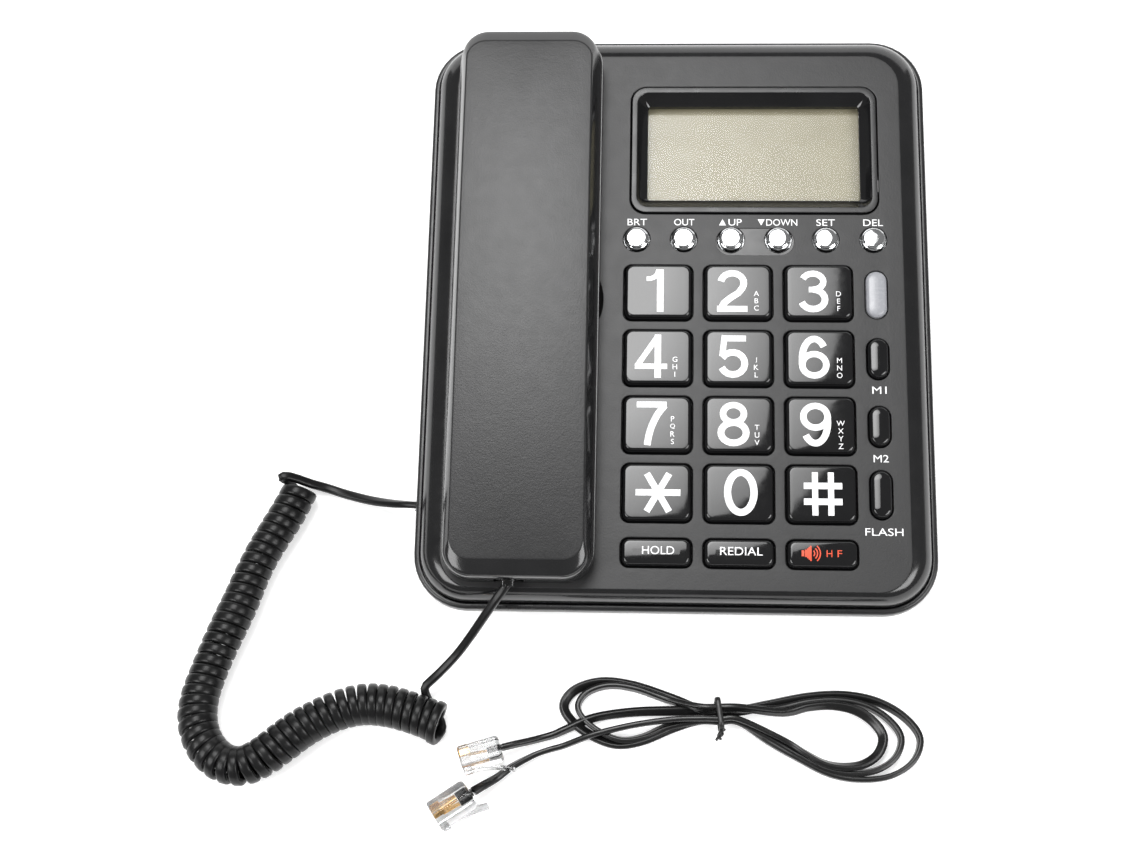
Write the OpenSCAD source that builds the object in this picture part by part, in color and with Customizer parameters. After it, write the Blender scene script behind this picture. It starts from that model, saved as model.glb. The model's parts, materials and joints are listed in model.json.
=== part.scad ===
// Corded desk telephone with large keys, a display, a handset on a cradle,
// a curly handset cord and a tied line cord.
// Origin: centre of the base in plan, on the surface that it stands on.
// +X is the user's right, +Y is away from the user, +Z is up.

/* [Base] */
// Width of the base over its rim
body_w = 161; // [150:1:172]
// Length of the base along its sloping top face
body_l = 190.5; // [186:0.5:200]
// Corner radius of the rim
corner_r = 17; // [12:1:20]
// Slope of the top face, in degrees
slope = 8.5; // [6:0.5:11]
// Height of the top face above the table at the middle of the base
face_z = 37; // [36:1:42]
// Drop from the top face to the top of the rim
rim_drop = 8; // [7:0.5:9]
// Height of the rim's own edge
rim_t = 6; // [5:0.5:7]
// Wall thickness of the housings
wall = 2.4; // [2:0.1:2.6]
// Height of the rubber feet
foot_h = 3; // [2.5:0.5:4]

/* [Keys] */
// Distance between the columns of keys
col_pitch = 25; // [24.5:0.1:25.5]
// Distance between the rows of keys
row_pitch = 21.5; // [21:0.1:22]
// Width of a key's hole
key_w = 21.8; // [21:0.1:22]
// Length of a digit key's hole
key_l = 18.6; // [18:0.1:18.8]
// Length of the hole of the lowest row of keys
low_key_l = 9.2; // [8.5:0.1:9.6]
// Height of a key above the top face
key_rise = 2.2; // [1.8:0.1:3]
// Diameter of a round button's hole
round_d = 8.4; // [8:0.1:9]

/* [Display] */
// Width of the display frame
bezel_w = 78.6; // [76:0.2:80]
// Length of the display frame
bezel_l = 43.6; // [42:0.2:44]
// Width of the display glass that shows
glass_w = 68; // [66:0.5:69]
// Length of the display glass that shows
glass_l = 32.6; // [31:0.2:33]

/* [Handset] */
// Length of the handset
hs_l = 176.6; // [172:0.2:177]
// Greatest width of the handset
hs_w = 46.2; // [44:0.2:47]
// Height of the handset above the top face
hs_h = 18; // [16:0.5:20]

/* [Cords] */
// Outer diameter of the curly cord's coil
coil_d = 12.6; // [11:0.2:13]
// Thickness of the curly cord
curl_d = 2.8; // [2.4:0.1:3]
// Width of the flat line cord
line_d = 4; // [3.6:0.2:4.2]

/* [Hidden] */
$fn = 48;
hull_fn = 32;
eps = 0.01;
gap = 0.3;
base_y = -(rim_drop + rim_t / 2) * sin(slope);

// Top face layout: u to the right, v up the slope, from the middle of the base
pad_u = 19.4;
pad_v = 4.1;
low_v = -78.9;
side_u = 62.5;
round_u = -12.6;
round_v = 22.1;
round_pitch = 14.93;
bezel_u = 24.6;
bezel_v = 53.3;
hs_u = -47.1;
// Dish for the fingers beside the handset's grip
recess_u = -40.1;
recess_v = 2;
recess_d = 34;
hook_v = 31;

// Shells
rim_lip = 1.8;
side_in = 7.7;
front_in = 3.6;
upper_w = body_w - 2 * (rim_lip + gap);
upper_l = body_l - 2 * (rim_lip + gap);
tray_in = 6;
floor_t = 2.4;
floor_z = foot_h + floor_t;
flange_t = 2;
seat_w = -rim_drop - rim_t + flange_t;

// Stack under the keys
key_gap = 0.3;
key_bottom = -4;
flange_h = 1;
key_travel = 1.6;
mat_top = key_bottom - key_travel - gap;
mat_t = 1;
board_t = 1.6;

// Cradle wells and the cups of the handset
well_w = 37;
well_l = 41;
well_d = 8;
well_v = 62;
cup_w = 34;
cup_l = 38;
cup_bottom = -6.5;
hs_bottom = 0.5;
hs_joint = 8;

// Battery compartment, in the plan of the base
cell_d = 10.5;
cell_l = 44.5;
batt_x = -39;
batt_y = 61;
batt_w = 50;
batt_l = 36;
door_front = 42;
door_rear = 92.6;
door_w = 54;
roof_t = 2;

// Sockets and plugs
jack_y = -59;
jack_x = -74.5;
line_jack_x = 30;
line_jack_y = 92;
plug_w = 7.6;
plug_h = 6.4;
line_plug_w = 9.6;
line_plug_l = 12.6;
line_plug_h = 6.6;
cord_exit_u = -49.8;

// Routes of the cords, in millimetres from the origin
handset_route = [[-49.8, -90.4, 28.2], [-51, -92, 27.9], [-53.5, -95, 26], [-57.5, -99.4, 21.5],
    [-61.5, -103.6, 16.5], [-66, -108, 11.5], [-71, -112.5, 8.2], [-75.4, -116.4, 6.6]];
base_route = [[-80.2, -59, 9.5], [-85, -58.4, 8.6], [-91, -57, 5.8], [-98, -55, 3], [-106, -52.6, 1.8],
    [-112, -50.8, 2.2], [-117, -50, 4], [-120.6, -51.2, 6.2]];
coil_route = [[-121, -54.4], [-123.5, -60.5], [-127, -67.5], [-130.4, -74.5], [-133.2, -82], [-135.6, -90],
    [-138.4, -98], [-141.2, -106], [-143.6, -114], [-145.2, -121.5], [-145, -129], [-142, -136],
    [-136.5, -141], [-130, -142.2], [-124, -139.4], [-118.5, -135], [-113, -130.6], [-107, -127],
    [-100.5, -124.2], [-94, -122.8], [-87, -123.2], [-80.5, -124.8], [-74.5, -126.8], [-70.5, -128.4]];
tail_a_route = [[-51.4, -134.8, 4.6], [-48, -133.8, 4.2], [-44, -132.6, 3.2], [-40, -131.3, 2.3],
    [-36, -130, 2.1], [-32.6, -128.4, 2.1]];
tail_b_route = [[-59.5, -148.4, 5.6], [-57, -146.6, 4.6], [-53, -143.6, 2.4], [-49, -140.4, 2.1],
    [-45, -138, 2.1], [-41, -136, 2.1], [-37, -134.6, 2.1], [-33, -133.4, 2.1]];
tie_pos = [14, -123];
hank_h = 6.2;

// Names of the keys with their places on the top face, row by row
DIGITS = [for (r = [0:3]) for (c = [-1:1]) [pad_u + c * col_pitch, pad_v - r * row_pitch]];
LOW_ROW = [for (c = [-1:1]) [pad_u + c * col_pitch, low_v]];
ROUNDS = [for (i = [0:5]) [round_u + i * round_pitch, round_v]];
// Side buttons: place along the slope and length of the hole
SIDES = [[-17.2, 13.4], [-38.9, 13.2], [-60.3, 15.4]];
side_w = 7;
lens_v = 3.9;
lens_l = 15.8;

// ---- Shared shapes ----

// Rounded rectangle centred on the origin, exact arcs
module rounded_rect(w, l, r) {
    square([w - 2 * r, l], center = true);
    square([w, l - 2 * r], center = true);
    for (x = [-1, 1], y = [-1, 1])
        translate([x * (w / 2 - r), y * (l / 2 - r)]) circle(r);
}

module rounded_block(w, l, r, low, high) {
    translate([0, 0, low]) linear_extrude(high - low) rounded_rect(w, l, r);
}

// Moves its children from the top face's own frame to the part's frame
module on_face(u = 0, v = 0, w = 0) {
    translate([0, base_y, face_z]) rotate([slope, 0, 0]) translate([u, v, w]) children();
}

// Everything above a level of the part's frame
module above(z) {
    translate([-150, -150, z]) cube([300, 300, 200]);
}

// A box from one corner to the other
module box(low, high) {
    translate(low) cube(high - low);
}

// Tube of n sides that runs along the points of a route
function route_dir(p, i) = let (a = p[max(i - 1, 0)], b = p[min(i + 1, len(p) - 1)]) (b - a) / norm(b - a);
function flat_side(d) = let (s = cross([0, 0, 1], d)) s / norm(s);
function ring(p, i, r, n) = let (d = route_dir(p, i), s = flat_side(d), t = cross(d, s))
    [for (k = [0:n - 1]) p[i] + r * (cos(360 * k / n) * s + sin(360 * k / n) * t)];

module tube(p, d, n) {
    m = len(p);
    polyhedron(
        points = [for (i = [0:m - 1]) each ring(p, i, d / 2, n)],
        faces = concat(
            [[for (k = [0:n - 1]) k]],
            [for (i = [0:m - 2], k = [0:n - 1])
                [i * n + k, (i + 1) * n + k, (i + 1) * n + (k + 1) % n, i * n + (k + 1) % n]],
            [[for (k = [n - 1:-1:0]) (m - 1) * n + k]]));
}

// ---- Base ----

// Cross-section of the upper housing: straight walls, then an elliptical shoulder on each side
function shoulder(inset, top) = [for (a = [0:15:90])
    [inset * (1 - cos(a)), -rim_drop + (top + rim_drop) * sin(a)]];
function section(left, left_in, right, right_in, low, top) = concat(
    [[right, low], [-left, low]],
    [for (p = shoulder(left_in, top)) [-left + p[0], p[1]]],
    [for (i = [6:-1:0]) let (p = shoulder(right_in, top)[i]) [right - p[0], p[1]]]);

// Outer shape of the upper housing, moved inwards by t
module upper_shape(t) {
    low = seat_w + 0.1 - (t > 0 ? 1 : 0);
    half_w = upper_w / 2 - t;
    half_l = upper_l / 2 - t;
    intersection() {
        rounded_block(2 * half_w, 2 * half_l, corner_r - rim_lip - t, low, 1);
        rotate([90, 0, 0]) linear_extrude(2 * body_l, center = true)
            polygon(section(half_w, side_in, half_w, side_in, low, -t));
        rotate([90, 0, 90]) linear_extrude(2 * body_w, center = true)
            polygon(section(half_l, front_in, half_l, side_in, low, -t));
    }
}

module key_hole(p, w, l, r) {
    translate([p[0], p[1], 0]) rounded_block(w, l, r, -wall - 1, 1);
}

module upper_housing() {
    color("dimgray") on_face() difference() {
        union() {
            difference() {
                upper_shape(0);
                upper_shape(wall);
            }
            // Walls and floors of the two cradle wells, and the pad under the finger recess
            for (s = [-1, 1])
                translate([hs_u, s * well_v, 0])
                    rounded_block(well_w + 4, well_l + 4, 9, -well_d - 2, -eps);
            translate([recess_u, recess_v, -4.6]) cylinder(d = recess_d + 4, h = 4.5);
            screw_posts();
        }
        for (s = [-1, 1])
            translate([hs_u, s * well_v, 0]) rounded_block(well_w, well_l, 7, -well_d, 1);
        translate([recess_u, recess_v, -2]) cylinder(d = recess_d, h = 3);
        translate([hs_u, hook_v, 0]) rounded_block(8, 14, 3, -6, 1);
        for (p = DIGITS) key_hole(p, key_w, key_l, 2.5);
        for (p = LOW_ROW) key_hole(p, key_w, low_key_l, 2.5);
        for (p = ROUNDS) translate([p[0], p[1], -wall - 1]) cylinder(d = round_d, h = wall + 2);
        for (s = SIDES) key_hole([side_u, s[0]], side_w, s[1], side_w / 2 - eps);
        key_hole([side_u, lens_v], side_w + 0.1, lens_l, side_w / 2 - eps);
        translate([bezel_u, bezel_v, 0]) rounded_block(bezel_w - 3, bezel_l - 3, 4, -6, 1);
        translate([bezel_u, bezel_v, 0]) rounded_block(bezel_w + 0.2, bezel_l + 0.2, 5, -1, 1);
    }
}

// Places of the case screws, in the top face's frame
SCREWS = [[-70, 0], [-22, -76], [69.8, -75], [69.8, 60], [14, 82]];
screw_top = -10.5;

module screw_posts() {
    for (p = SCREWS) translate([p[0], p[1], screw_top]) difference() {
        cylinder(d = 6.4, h = -screw_top - 1.2);
        translate([0, 0, -1]) cylinder(d = 2.6, h = 8);
    }
}

module lower_housing() {
    color([0.2, 0.2, 0.21]) difference() {
        union() {
            on_face() rounded_block(body_w, body_l, corner_r, -rim_drop - rim_t, -rim_drop);
            intersection() {
                on_face() rounded_block(body_w - 2 * tray_in, body_l - 2 * tray_in, corner_r - 4, -80,
                    -rim_drop - rim_t + 1);
                above(foot_h);
            }
        }
        // Seat of the upper housing and the hollow of the tray
        on_face() rounded_block(body_w - 2 * rim_lip, body_l - 2 * rim_lip, corner_r - rim_lip, seat_w, 1);
        intersection() {
            on_face() rounded_block(body_w - 2 * (tray_in + wall), body_l - 2 * (tray_in + wall),
                corner_r - 6, -80, 1);
            difference() {
                above(floor_z);
                // Battery compartment, its roof plate and the screw pillars stay
                box([batt_x - batt_w / 2 - 2, batt_y - batt_l / 2 - 2, 0],
                    [batt_x + batt_w / 2 + 2, batt_y + batt_l / 2 + 2, floor_z + roof_t + cell_d + 2.6]);
                box([batt_x - door_w / 2 - 3, door_front - 3, 0],
                    [batt_x + door_w / 2 + 3, 100, floor_z + roof_t]);
                intersection() {
                    on_face() for (p = SCREWS) translate([p[0], p[1], -80])
                        cylinder(d = 7.4, h = 80 + screw_top - gap);
                    above(0);
                }
            }
        }
        // Hollow for the cells, open to the door
        box([batt_x - batt_w / 2, batt_y - batt_l / 2, 0],
            [batt_x + batt_w / 2, batt_y + batt_l / 2, floor_z + roof_t + cell_d + 0.6]);
        // Channel of the battery door, open at the rear
        box([batt_x - door_w / 2 - gap, door_front - gap, 0],
            [batt_x + door_w / 2 + gap, 110, floor_z]);
        // Screw holes with counterbores from below
        on_face() for (p = SCREWS) translate([p[0], p[1], -80]) {
            cylinder(d = 3.4, h = 80);
            cylinder(d = 6.2, h = 80 + screw_top - 4);
        }
        // Keyholes for hanging on a wall: head hole and neck
        for (y = [-50, 30]) translate([0, y, 0]) {
            cylinder(d = 8, h = floor_z + 1);
            box([-2.1, 0, 0], [2.1, 8, floor_z + 1]);
            translate([0, 8, 0]) cylinder(d = 4.2, h = floor_z + 1);
        }
        // Loudspeaker grille
        for (a = [0:45:315], r = [6, 12, 18]) translate([38 + r * cos(a), -20 + r * sin(a), 0])
            cylinder(d = 2.2, h = floor_z + 1);
        // Windows for the two sockets
        box([jack_x - 2, jack_y - 6.1, floor_z], [jack_x + 5, jack_y + 6.1, floor_z + 8.6]);
        box([line_jack_x - 7.1, line_jack_y - 8, floor_z],
            [line_jack_x + 7.1, line_jack_y + 12, floor_z + 12.1]);
        // Seats of the feet
        for (p = FEET) translate([p[0], p[1], foot_h - 1]) cylinder(d = 12.2, h = 2);
    }
}

FEET = [[-60, -74], [60, -74], [-56, 30], [58, 80]];

module feet() {
    color("black") for (p = FEET) translate([p[0], p[1], 0]) {
        cylinder(d = 12, h = foot_h + 1);
    }
}

module case_screws() {
    color("silver") on_face() for (p = SCREWS) translate([p[0], p[1], screw_top - 4]) {
        cylinder(d = 2.6, h = 11);
        translate([0, 0, -2]) cylinder(d = 5.6, h = 2);
    }
}

module display_bezel() {
    color([0.05, 0.05, 0.055]) on_face(bezel_u, bezel_v) difference() {
        union() {
            rounded_block(bezel_w, bezel_l, 4.9, -1, 0.5);
            rounded_block(bezel_w - 3.2, bezel_l - 3.2, 3.9, -4.4, 0);
        }
        hull() {
            rounded_block(bezel_w - 3.4, bezel_l - 3.4, 3.4, 0.5, 0.6, $fn = hull_fn);
            rounded_block(glass_w, glass_l, 0.8, -2.75, -2.7, $fn = hull_fn);
        }
        rounded_block(glass_w, glass_l, 0.8, -5, 1);
    }
}

module display_window() {
    color([0.75, 0.74, 0.66]) on_face(bezel_u, bezel_v)
        rounded_block(glass_w + 3, glass_l + 3, 1, -5.9, -4.5);
}

module lcd_panel() {
    color([0.62, 0.63, 0.55]) on_face(bezel_u, bezel_v)
        rounded_block(glass_w + 2, glass_l + 2, 0.6, -8.2, -6);
}

module main_board() {
    color("darkgreen") on_face(bezel_u, bezel_v) {
        translate([-37, -20, -10]) cube([74, 40, board_t]);
        for (u = [-26, -8, 12]) translate([u, -8, -12.2]) cube([12, 14, 2.2]);
        translate([26, 8, -18]) cylinder(d = 8, h = 8);
    }
}

board_top = mat_top - mat_t - gap;

module keypad_board() {
    color("darkgreen") on_face() difference() {
        translate([-19, -86, board_top - board_t]) cube([86, 113, board_t]);
        for (p = SCREWS) translate([p[0], p[1], board_top - board_t - 1]) cylinder(d = 8, h = 4);
    }
}

module keypad_membrane() {
    color("whitesmoke") on_face() {
        difference() {
            translate([-18.5, -85.5, mat_top - mat_t]) cube([85.5, 112, mat_t - 0.5]);
            for (p = SCREWS) translate([p[0], p[1], mat_top - 2]) cylinder(d = 8, h = 4);
        }
        for (p = concat(DIGITS, LOW_ROW))
            translate([p[0], p[1], mat_top - mat_t]) cylinder(d = 8, h = mat_t);
        for (p = ROUNDS) translate([p[0], p[1], mat_top - mat_t]) cylinder(d = 5, h = mat_t);
        for (s = SIDES) translate([side_u, s[0], mat_top - mat_t]) cylinder(d = 5, h = mat_t);
    }
}

module indicator_lens() {
    color([0.9, 0.9, 0.92, 0.8]) on_face(side_u, lens_v) {
        rounded_block(side_w - 0.2, lens_l - 0.3, side_w / 2 - 0.15, -3, 0.7);
        rounded_block(side_w + 1.8, lens_l + 1.6, side_w / 2, -4, -wall - 0.1);
    }
}

// Plunger under the handset's grip, and its guide stem
module hook_switch() {
    color("black") on_face(hs_u, hook_v) {
        rounded_block(7.4, 13.4, 2.7, -9, 0.1);
        rounded_block(10, 16, 2, -11, -9);
    }
}

module modular_socket(w, d, h, plug_width, plug_height) {
    difference() {
        box([-w / 2, 0, 0], [w / 2, d, h]);
        box([-plug_width / 2, -1, (h - plug_height) / 2], [plug_width / 2, d - 2, (h + plug_height) / 2]);
    }
}

module handset_jack() {
    color("black") translate([jack_x, jack_y, floor_z + 0.1]) rotate([0, 0, -90])
        modular_socket(12, 12, 8.4, plug_w + 0.2, plug_h + 0.2);
}

module line_jack() {
    color("black") translate([line_jack_x, line_jack_y, floor_z + 0.1]) rotate([0, 0, 180])
        modular_socket(14, 14, 11.8, 10, 7);
}

module loudspeaker() {
    color("gray") translate([38, -20, floor_z + 0.1]) {
        difference() {
            cylinder(d = 50, h = 4);
            translate([0, 0, -1]) cylinder(d = 44, h = 3.4);
        }
        translate([0, 0, 4]) cylinder(d1 = 40, d2 = 22, h = 3);
        translate([0, 0, 7]) cylinder(d = 20, h = 3);
    }
}

module batteries() {
    color("goldenrod") for (i = [-1:1])
        translate([batt_x - cell_l / 2, batt_y + i * (cell_d + 0.9), floor_z + roof_t + cell_d / 2 - 1.6])
            rotate([0, 90, 0]) {
                cylinder(d = cell_d, h = cell_l - 1);
                translate([0, 0, cell_l - 1]) cylinder(d = 3.8, h = 1);
            }
}

module battery_contacts() {
    color("silver") for (x = [-1, 1], i = [-1:1])
        translate([batt_x + x * (batt_w / 2 - 0.5) - 0.3, batt_y + i * (cell_d + 0.9) - 4, floor_z + 3])
            cube([0.6, 8, 8]);
}

module battery_door() {
    color([0.2, 0.2, 0.21]) difference() {
        box([batt_x - door_w / 2, door_front, foot_h], [batt_x + door_w / 2, door_rear, foot_h + 2]);
        for (i = [0:4])
            box([batt_x - 9, 78 + i * 2.4, foot_h - 1], [batt_x + 9, 79.2 + i * 2.4, foot_h + 0.6]);
    }
}

// ---- Keys ----

// Key cap with sloping sides, and the flange that holds it under the top wall
module key_cap(p, w, l) {
    color([0.06, 0.06, 0.065]) on_face(p[0], p[1]) {
        hull() {
            rounded_block(w - 2 * key_gap, l - 2 * key_gap, 2.2, key_bottom + flange_h, 0.2, $fn = hull_fn);
            rounded_block(w - 1.8, l - 1.8, 1.7, key_rise - 0.5, key_rise - 0.4, $fn = hull_fn);
            rounded_block(w - 2.6, l - 2.6, 1.3, key_rise - 0.1, key_rise, $fn = hull_fn);
        }
        rounded_block(w + 1.5, l + 1.3, 1, key_bottom, key_bottom + flange_h);
    }
}

module round_button(i) {
    color("gainsboro") on_face(ROUNDS[i][0], ROUNDS[i][1]) {
        translate([0, 0, key_bottom]) cylinder(d = round_d + 1.8, h = flange_h);
        translate([0, 0, key_bottom]) cylinder(d = round_d - 0.6, h = 0.8 - key_bottom);
        translate([0, 0, 0.8]) cylinder(d1 = round_d - 0.6, d2 = round_d - 2.2, h = 0.8);
    }
}

module side_button(i) {
    color([0.06, 0.06, 0.065]) on_face(side_u, SIDES[i][0]) {
        rounded_block(side_w - 0.6, SIDES[i][1] - 0.6, side_w / 2 - 0.31, key_bottom, 1);
        rounded_block(side_w - 2, SIDES[i][1] - 2, side_w / 2 - 1.01, 1 - eps, 1.8);
        rounded_block(side_w + 1.2, SIDES[i][1] + 1.2, 2, key_bottom, key_bottom + flange_h);
    }
}

// ---- Handset ----

// Levels of the handset's upper half: height, inset at the sides, inset at the ends, corner radius
HANDSET_LEVELS = [[hs_joint, 0.3, 0, 9], [12, 0.9, 0.1, 8.6], [hs_h - 2.5, 2, 0.9, 7.6],
    [hs_h - 0.7, 2.8, 3, 6.6], [hs_h, 3.6, 5.3, 5.8]];

// Outer shape of the handset's upper half, moved inwards by t
module handset_shape(t) {
    hull() for (s = HANDSET_LEVELS)
        rounded_block(hs_w - 2 * (s[1] + t), hs_l - 2 * (s[2] + t), s[3] - t / 2, s[0] - t, s[0] - t + eps,
            $fn = hull_fn);
}

module handset_outer_shell() {
    color([0.25, 0.25, 0.26]) on_face(hs_u) difference() {
        handset_shape(0);
        difference() {
            translate([0, 0, -0.01]) handset_shape(2.2);
            for (v = [-20, 20]) translate([0, v, 0]) cylinder(d = 6, h = hs_h);
        }
        translate([0, 0, hs_joint - 1]) for (v = [-20, 20]) translate([0, v, 0]) cylinder(d = 2.4, h = 7);
    }
}

module handset_inner_shell() {
    color([0.2, 0.2, 0.21]) on_face(hs_u) difference() {
        union() {
            rounded_block(hs_w, hs_l, 9, hs_bottom, hs_joint - 0.1);
            for (s = [-1, 1])
                translate([0, s * well_v, 0]) rounded_block(cup_w, cup_l, 6, cup_bottom, hs_bottom + 1);
        }
        difference() {
            rounded_block(hs_w - 4.4, hs_l - 4.4, 7, hs_bottom + 2, hs_joint + 1);
            for (v = [-20, 20]) translate([0, v, 0]) cylinder(d = 6.4, h = hs_joint);
        }
        for (s = [-1, 1])
            translate([0, s * well_v, 0]) rounded_block(cup_w - 4, cup_l - 4, 4, cup_bottom + 2, hs_joint);
        // Sound holes of the earpiece, and of the microphone
        for (a = [0:60:300])
            translate([5 * cos(a), well_v + 5 * sin(a), cup_bottom - 1]) cylinder(d = 2, h = 4);
        translate([0, well_v, cup_bottom - 1]) cylinder(d = 2, h = 4);
        for (u = [-4, 0, 4]) translate([u, -well_v, cup_bottom - 1]) cylinder(d = 1.6, h = 4);
        // Screw holes with counterbores from below
        for (v = [-20, 20]) translate([0, v, -1]) {
            cylinder(d = 2.8, h = 12);
            cylinder(d = 5.4, h = 5);
        }
        // Window for the cord plug
        box([cord_exit_u - hs_u - 4.6, -hs_l / 2 - 1, hs_bottom + 1],
            [cord_exit_u - hs_u + 4.6, -hs_l / 2 + 5, hs_joint + 1]);
    }
}

module earpiece() {
    color("gray") on_face(hs_u, well_v) {
        translate([0, 0, cup_bottom + 2.1]) cylinder(d = 28, h = 4);
        translate([0, 0, cup_bottom + 6.1]) cylinder(d = 14, h = 2);
    }
}

module microphone() {
    color("silver") on_face(hs_u, -well_v) {
        translate([0, 0, cup_bottom + 2.1]) cylinder(d = 9.7, h = 4.5);
        translate([0, 0, cup_bottom + 6.6]) cylinder(d = 7, h = 1);
    }
}

module handset_weight() {
    color("slategray") on_face(hs_u) rounded_block(20, 26, 2, hs_bottom + 2.1, hs_joint + 4);
}

module handset_screws() {
    color("silver") on_face(hs_u) for (v = [-20, 20]) translate([0, v, hs_bottom + 1]) {
        cylinder(d = 5, h = 2.4);
        cylinder(d = 2.4, h = 10);
    }
}

module handset_socket() {
    color("black") on_face(cord_exit_u, -hs_l / 2 + 0.9, hs_bottom + 2.1)
        modular_socket(9, 13, 5.2, plug_w - 0.6, 4.4);
}

// ---- Curly cord ----

module handset_plug() {
    color("lightgray") on_face(cord_exit_u, -hs_l / 2, hs_bottom + 2.7) box([-3.4, 0, 0], [3.4, 9.7, 4]);
}

module base_plug() {
    color("lightgray") box([jack_x - 5.4, jack_y - plug_w / 2, floor_z + 1.2],
        [jack_x + 9.6, jack_y + plug_w / 2, floor_z + 1.2 + plug_h]);
}

module handset_lead() {
    color([0.12, 0.12, 0.12]) tube(handset_route, curl_d, 8);
}

module base_lead() {
    color([0.12, 0.12, 0.12]) tube(base_route, curl_d, 8);
}

module cord_coil() {
    color([0.12, 0.12, 0.12]) tube([for (p = coil_route) [p[0], p[1], coil_d / 2 + 0.1]], coil_d, 12);
}

// ---- Line cord ----

// Two lobes of the tied cord, each drawn round a few circles
module line_hank() {
    color([0.1, 0.1, 0.1]) linear_extrude(hank_h) {
        hull() {
            translate([-27, -121]) circle(7.5);
            translate([-14, -123.5]) circle(10);
            translate([12, -124]) circle(3.5);
        }
        hull() {
            translate([16, -124]) circle(3.5);
            translate([50, -125]) circle(9.5);
            translate([56, -132]) circle(10);
            translate([65, -129.5]) circle(10);
        }
        translate([11, -127.5]) square([6, 7]);
    }
}

module line_lead_a() {
    color([0.1, 0.1, 0.1]) tube(tail_a_route, line_d, 10);
}

module line_lead_b() {
    color([0.1, 0.1, 0.1]) tube(tail_b_route, line_d, 10);
}

// Modular plug with its latch; the cord leaves at the end that the place names
module line_plug(p, turn, roll) {
    translate(p) rotate([0, 0, turn]) rotate([roll, 0, 0]) {
        box([-line_plug_l, -line_plug_w / 2, -line_plug_h / 2], [0, line_plug_w / 2, line_plug_h / 2]);
        box([-line_plug_l + 1, -2.5, line_plug_h / 2 - eps],
            [-line_plug_l + 3, 2.5, line_plug_h / 2 + 1.4]);
    }
}

module line_plug_a() {
    color("lightgray") line_plug([-51.8, -135, 4.9], 18, 90);
}

module line_plug_b() {
    color("lightgray") line_plug([-60.3, -149, 5.9], 35, 130);
}

module cord_tie() {
    color("black") translate([tie_pos[0], tie_pos[1] - 1, 0]) rotate([0, 0, 8]) difference() {
        box([-1.5, -6, 0], [1.5, 6, hank_h + 1.2]);
        box([-2, -4.6, -1], [2, 4.6, hank_h + gap]);
    }
}

KEY_NODES = ["key_1", "key_2", "key_3", "key_4", "key_5", "key_6", "key_7", "key_8", "key_9", "key_star",
    "key_0", "key_hash"];
LOW_NODES = ["key_hold", "key_redial", "key_handsfree"];
ROUND_NODES = ["button_brt", "button_out", "button_up", "button_down", "button_set", "button_del"];
SIDE_NODES = ["button_m1", "button_m2", "button_flash"];

lower_housing();
upper_housing();
display_bezel();
display_window();
lcd_panel();
main_board();
keypad_board();
keypad_membrane();
indicator_lens();
hook_switch();
handset_jack();
line_jack();
loudspeaker();
feet();
case_screws();
batteries();
battery_contacts();
battery_door();
for (i = [0:11]) key_cap(DIGITS[i], key_w, key_l);
for (i = [0:2]) key_cap(LOW_ROW[i], key_w, low_key_l);
for (i = [0:5]) round_button(i);
for (i = [0:2]) side_button(i);
handset_outer_shell();
handset_inner_shell();
earpiece();
microphone();
handset_weight();
handset_screws();
handset_socket();
handset_plug();
base_plug();
handset_lead();
cord_coil();
base_lead();
line_hank();
line_lead_a();
line_lead_b();
line_plug_a();
line_plug_b();
cord_tie();
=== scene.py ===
"""Corded desk telephone with large keys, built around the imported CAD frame.

Shapes are drawn in millimetres, either in the frame of the sloping top face (u to the right,
v up the slope, w out of the face) or in the part's own frame, and are turned into metres as
each piece is finished.
"""
import bisect
import json
import math
import bmesh
import bpy
from mathutils import Matrix, Vector
from mathutils.geometry import delaunay_2d_cdt


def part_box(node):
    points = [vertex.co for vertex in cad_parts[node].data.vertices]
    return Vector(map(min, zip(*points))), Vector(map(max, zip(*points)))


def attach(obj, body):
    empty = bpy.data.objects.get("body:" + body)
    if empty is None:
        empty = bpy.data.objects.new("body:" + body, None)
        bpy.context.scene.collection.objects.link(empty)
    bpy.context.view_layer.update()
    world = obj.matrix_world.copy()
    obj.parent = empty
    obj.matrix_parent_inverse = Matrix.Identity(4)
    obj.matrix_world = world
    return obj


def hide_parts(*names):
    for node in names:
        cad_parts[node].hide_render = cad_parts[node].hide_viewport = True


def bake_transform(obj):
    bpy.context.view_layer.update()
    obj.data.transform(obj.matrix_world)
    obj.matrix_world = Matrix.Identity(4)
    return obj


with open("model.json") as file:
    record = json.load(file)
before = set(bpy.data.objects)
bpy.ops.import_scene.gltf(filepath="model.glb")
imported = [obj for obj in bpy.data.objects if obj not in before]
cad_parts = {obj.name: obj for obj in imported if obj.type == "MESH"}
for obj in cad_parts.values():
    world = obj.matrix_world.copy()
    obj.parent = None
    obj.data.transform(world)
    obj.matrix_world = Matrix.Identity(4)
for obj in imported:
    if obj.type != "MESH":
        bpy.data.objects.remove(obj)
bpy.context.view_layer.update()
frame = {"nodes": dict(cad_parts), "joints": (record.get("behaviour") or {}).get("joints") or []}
NODES = frame["nodes"]
MM = 0.001

# ---- The top face, from the frame ----

lift_axis = next(j["axis"] for j in frame["joints"] if j["name"] == "handset_lift")
SLOPE = math.atan2(-lift_axis[1], lift_axis[2])
FACE_HEIGHT = 37
RIM_DROP = 8
RIM_HEIGHT = 6
FOOT_HEIGHT = 3
FLOOR_HEIGHT = 5.4
FACE_SHIFT = -(RIM_DROP + RIM_HEIGHT / 2) * math.sin(SLOPE)
TABLE = Matrix.Scale(MM, 4)
FACE = Matrix.Translation((0, FACE_SHIFT * MM, FACE_HEIGHT * MM)) @ Matrix.Rotation(SLOPE, 4, "X") @ TABLE


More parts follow.
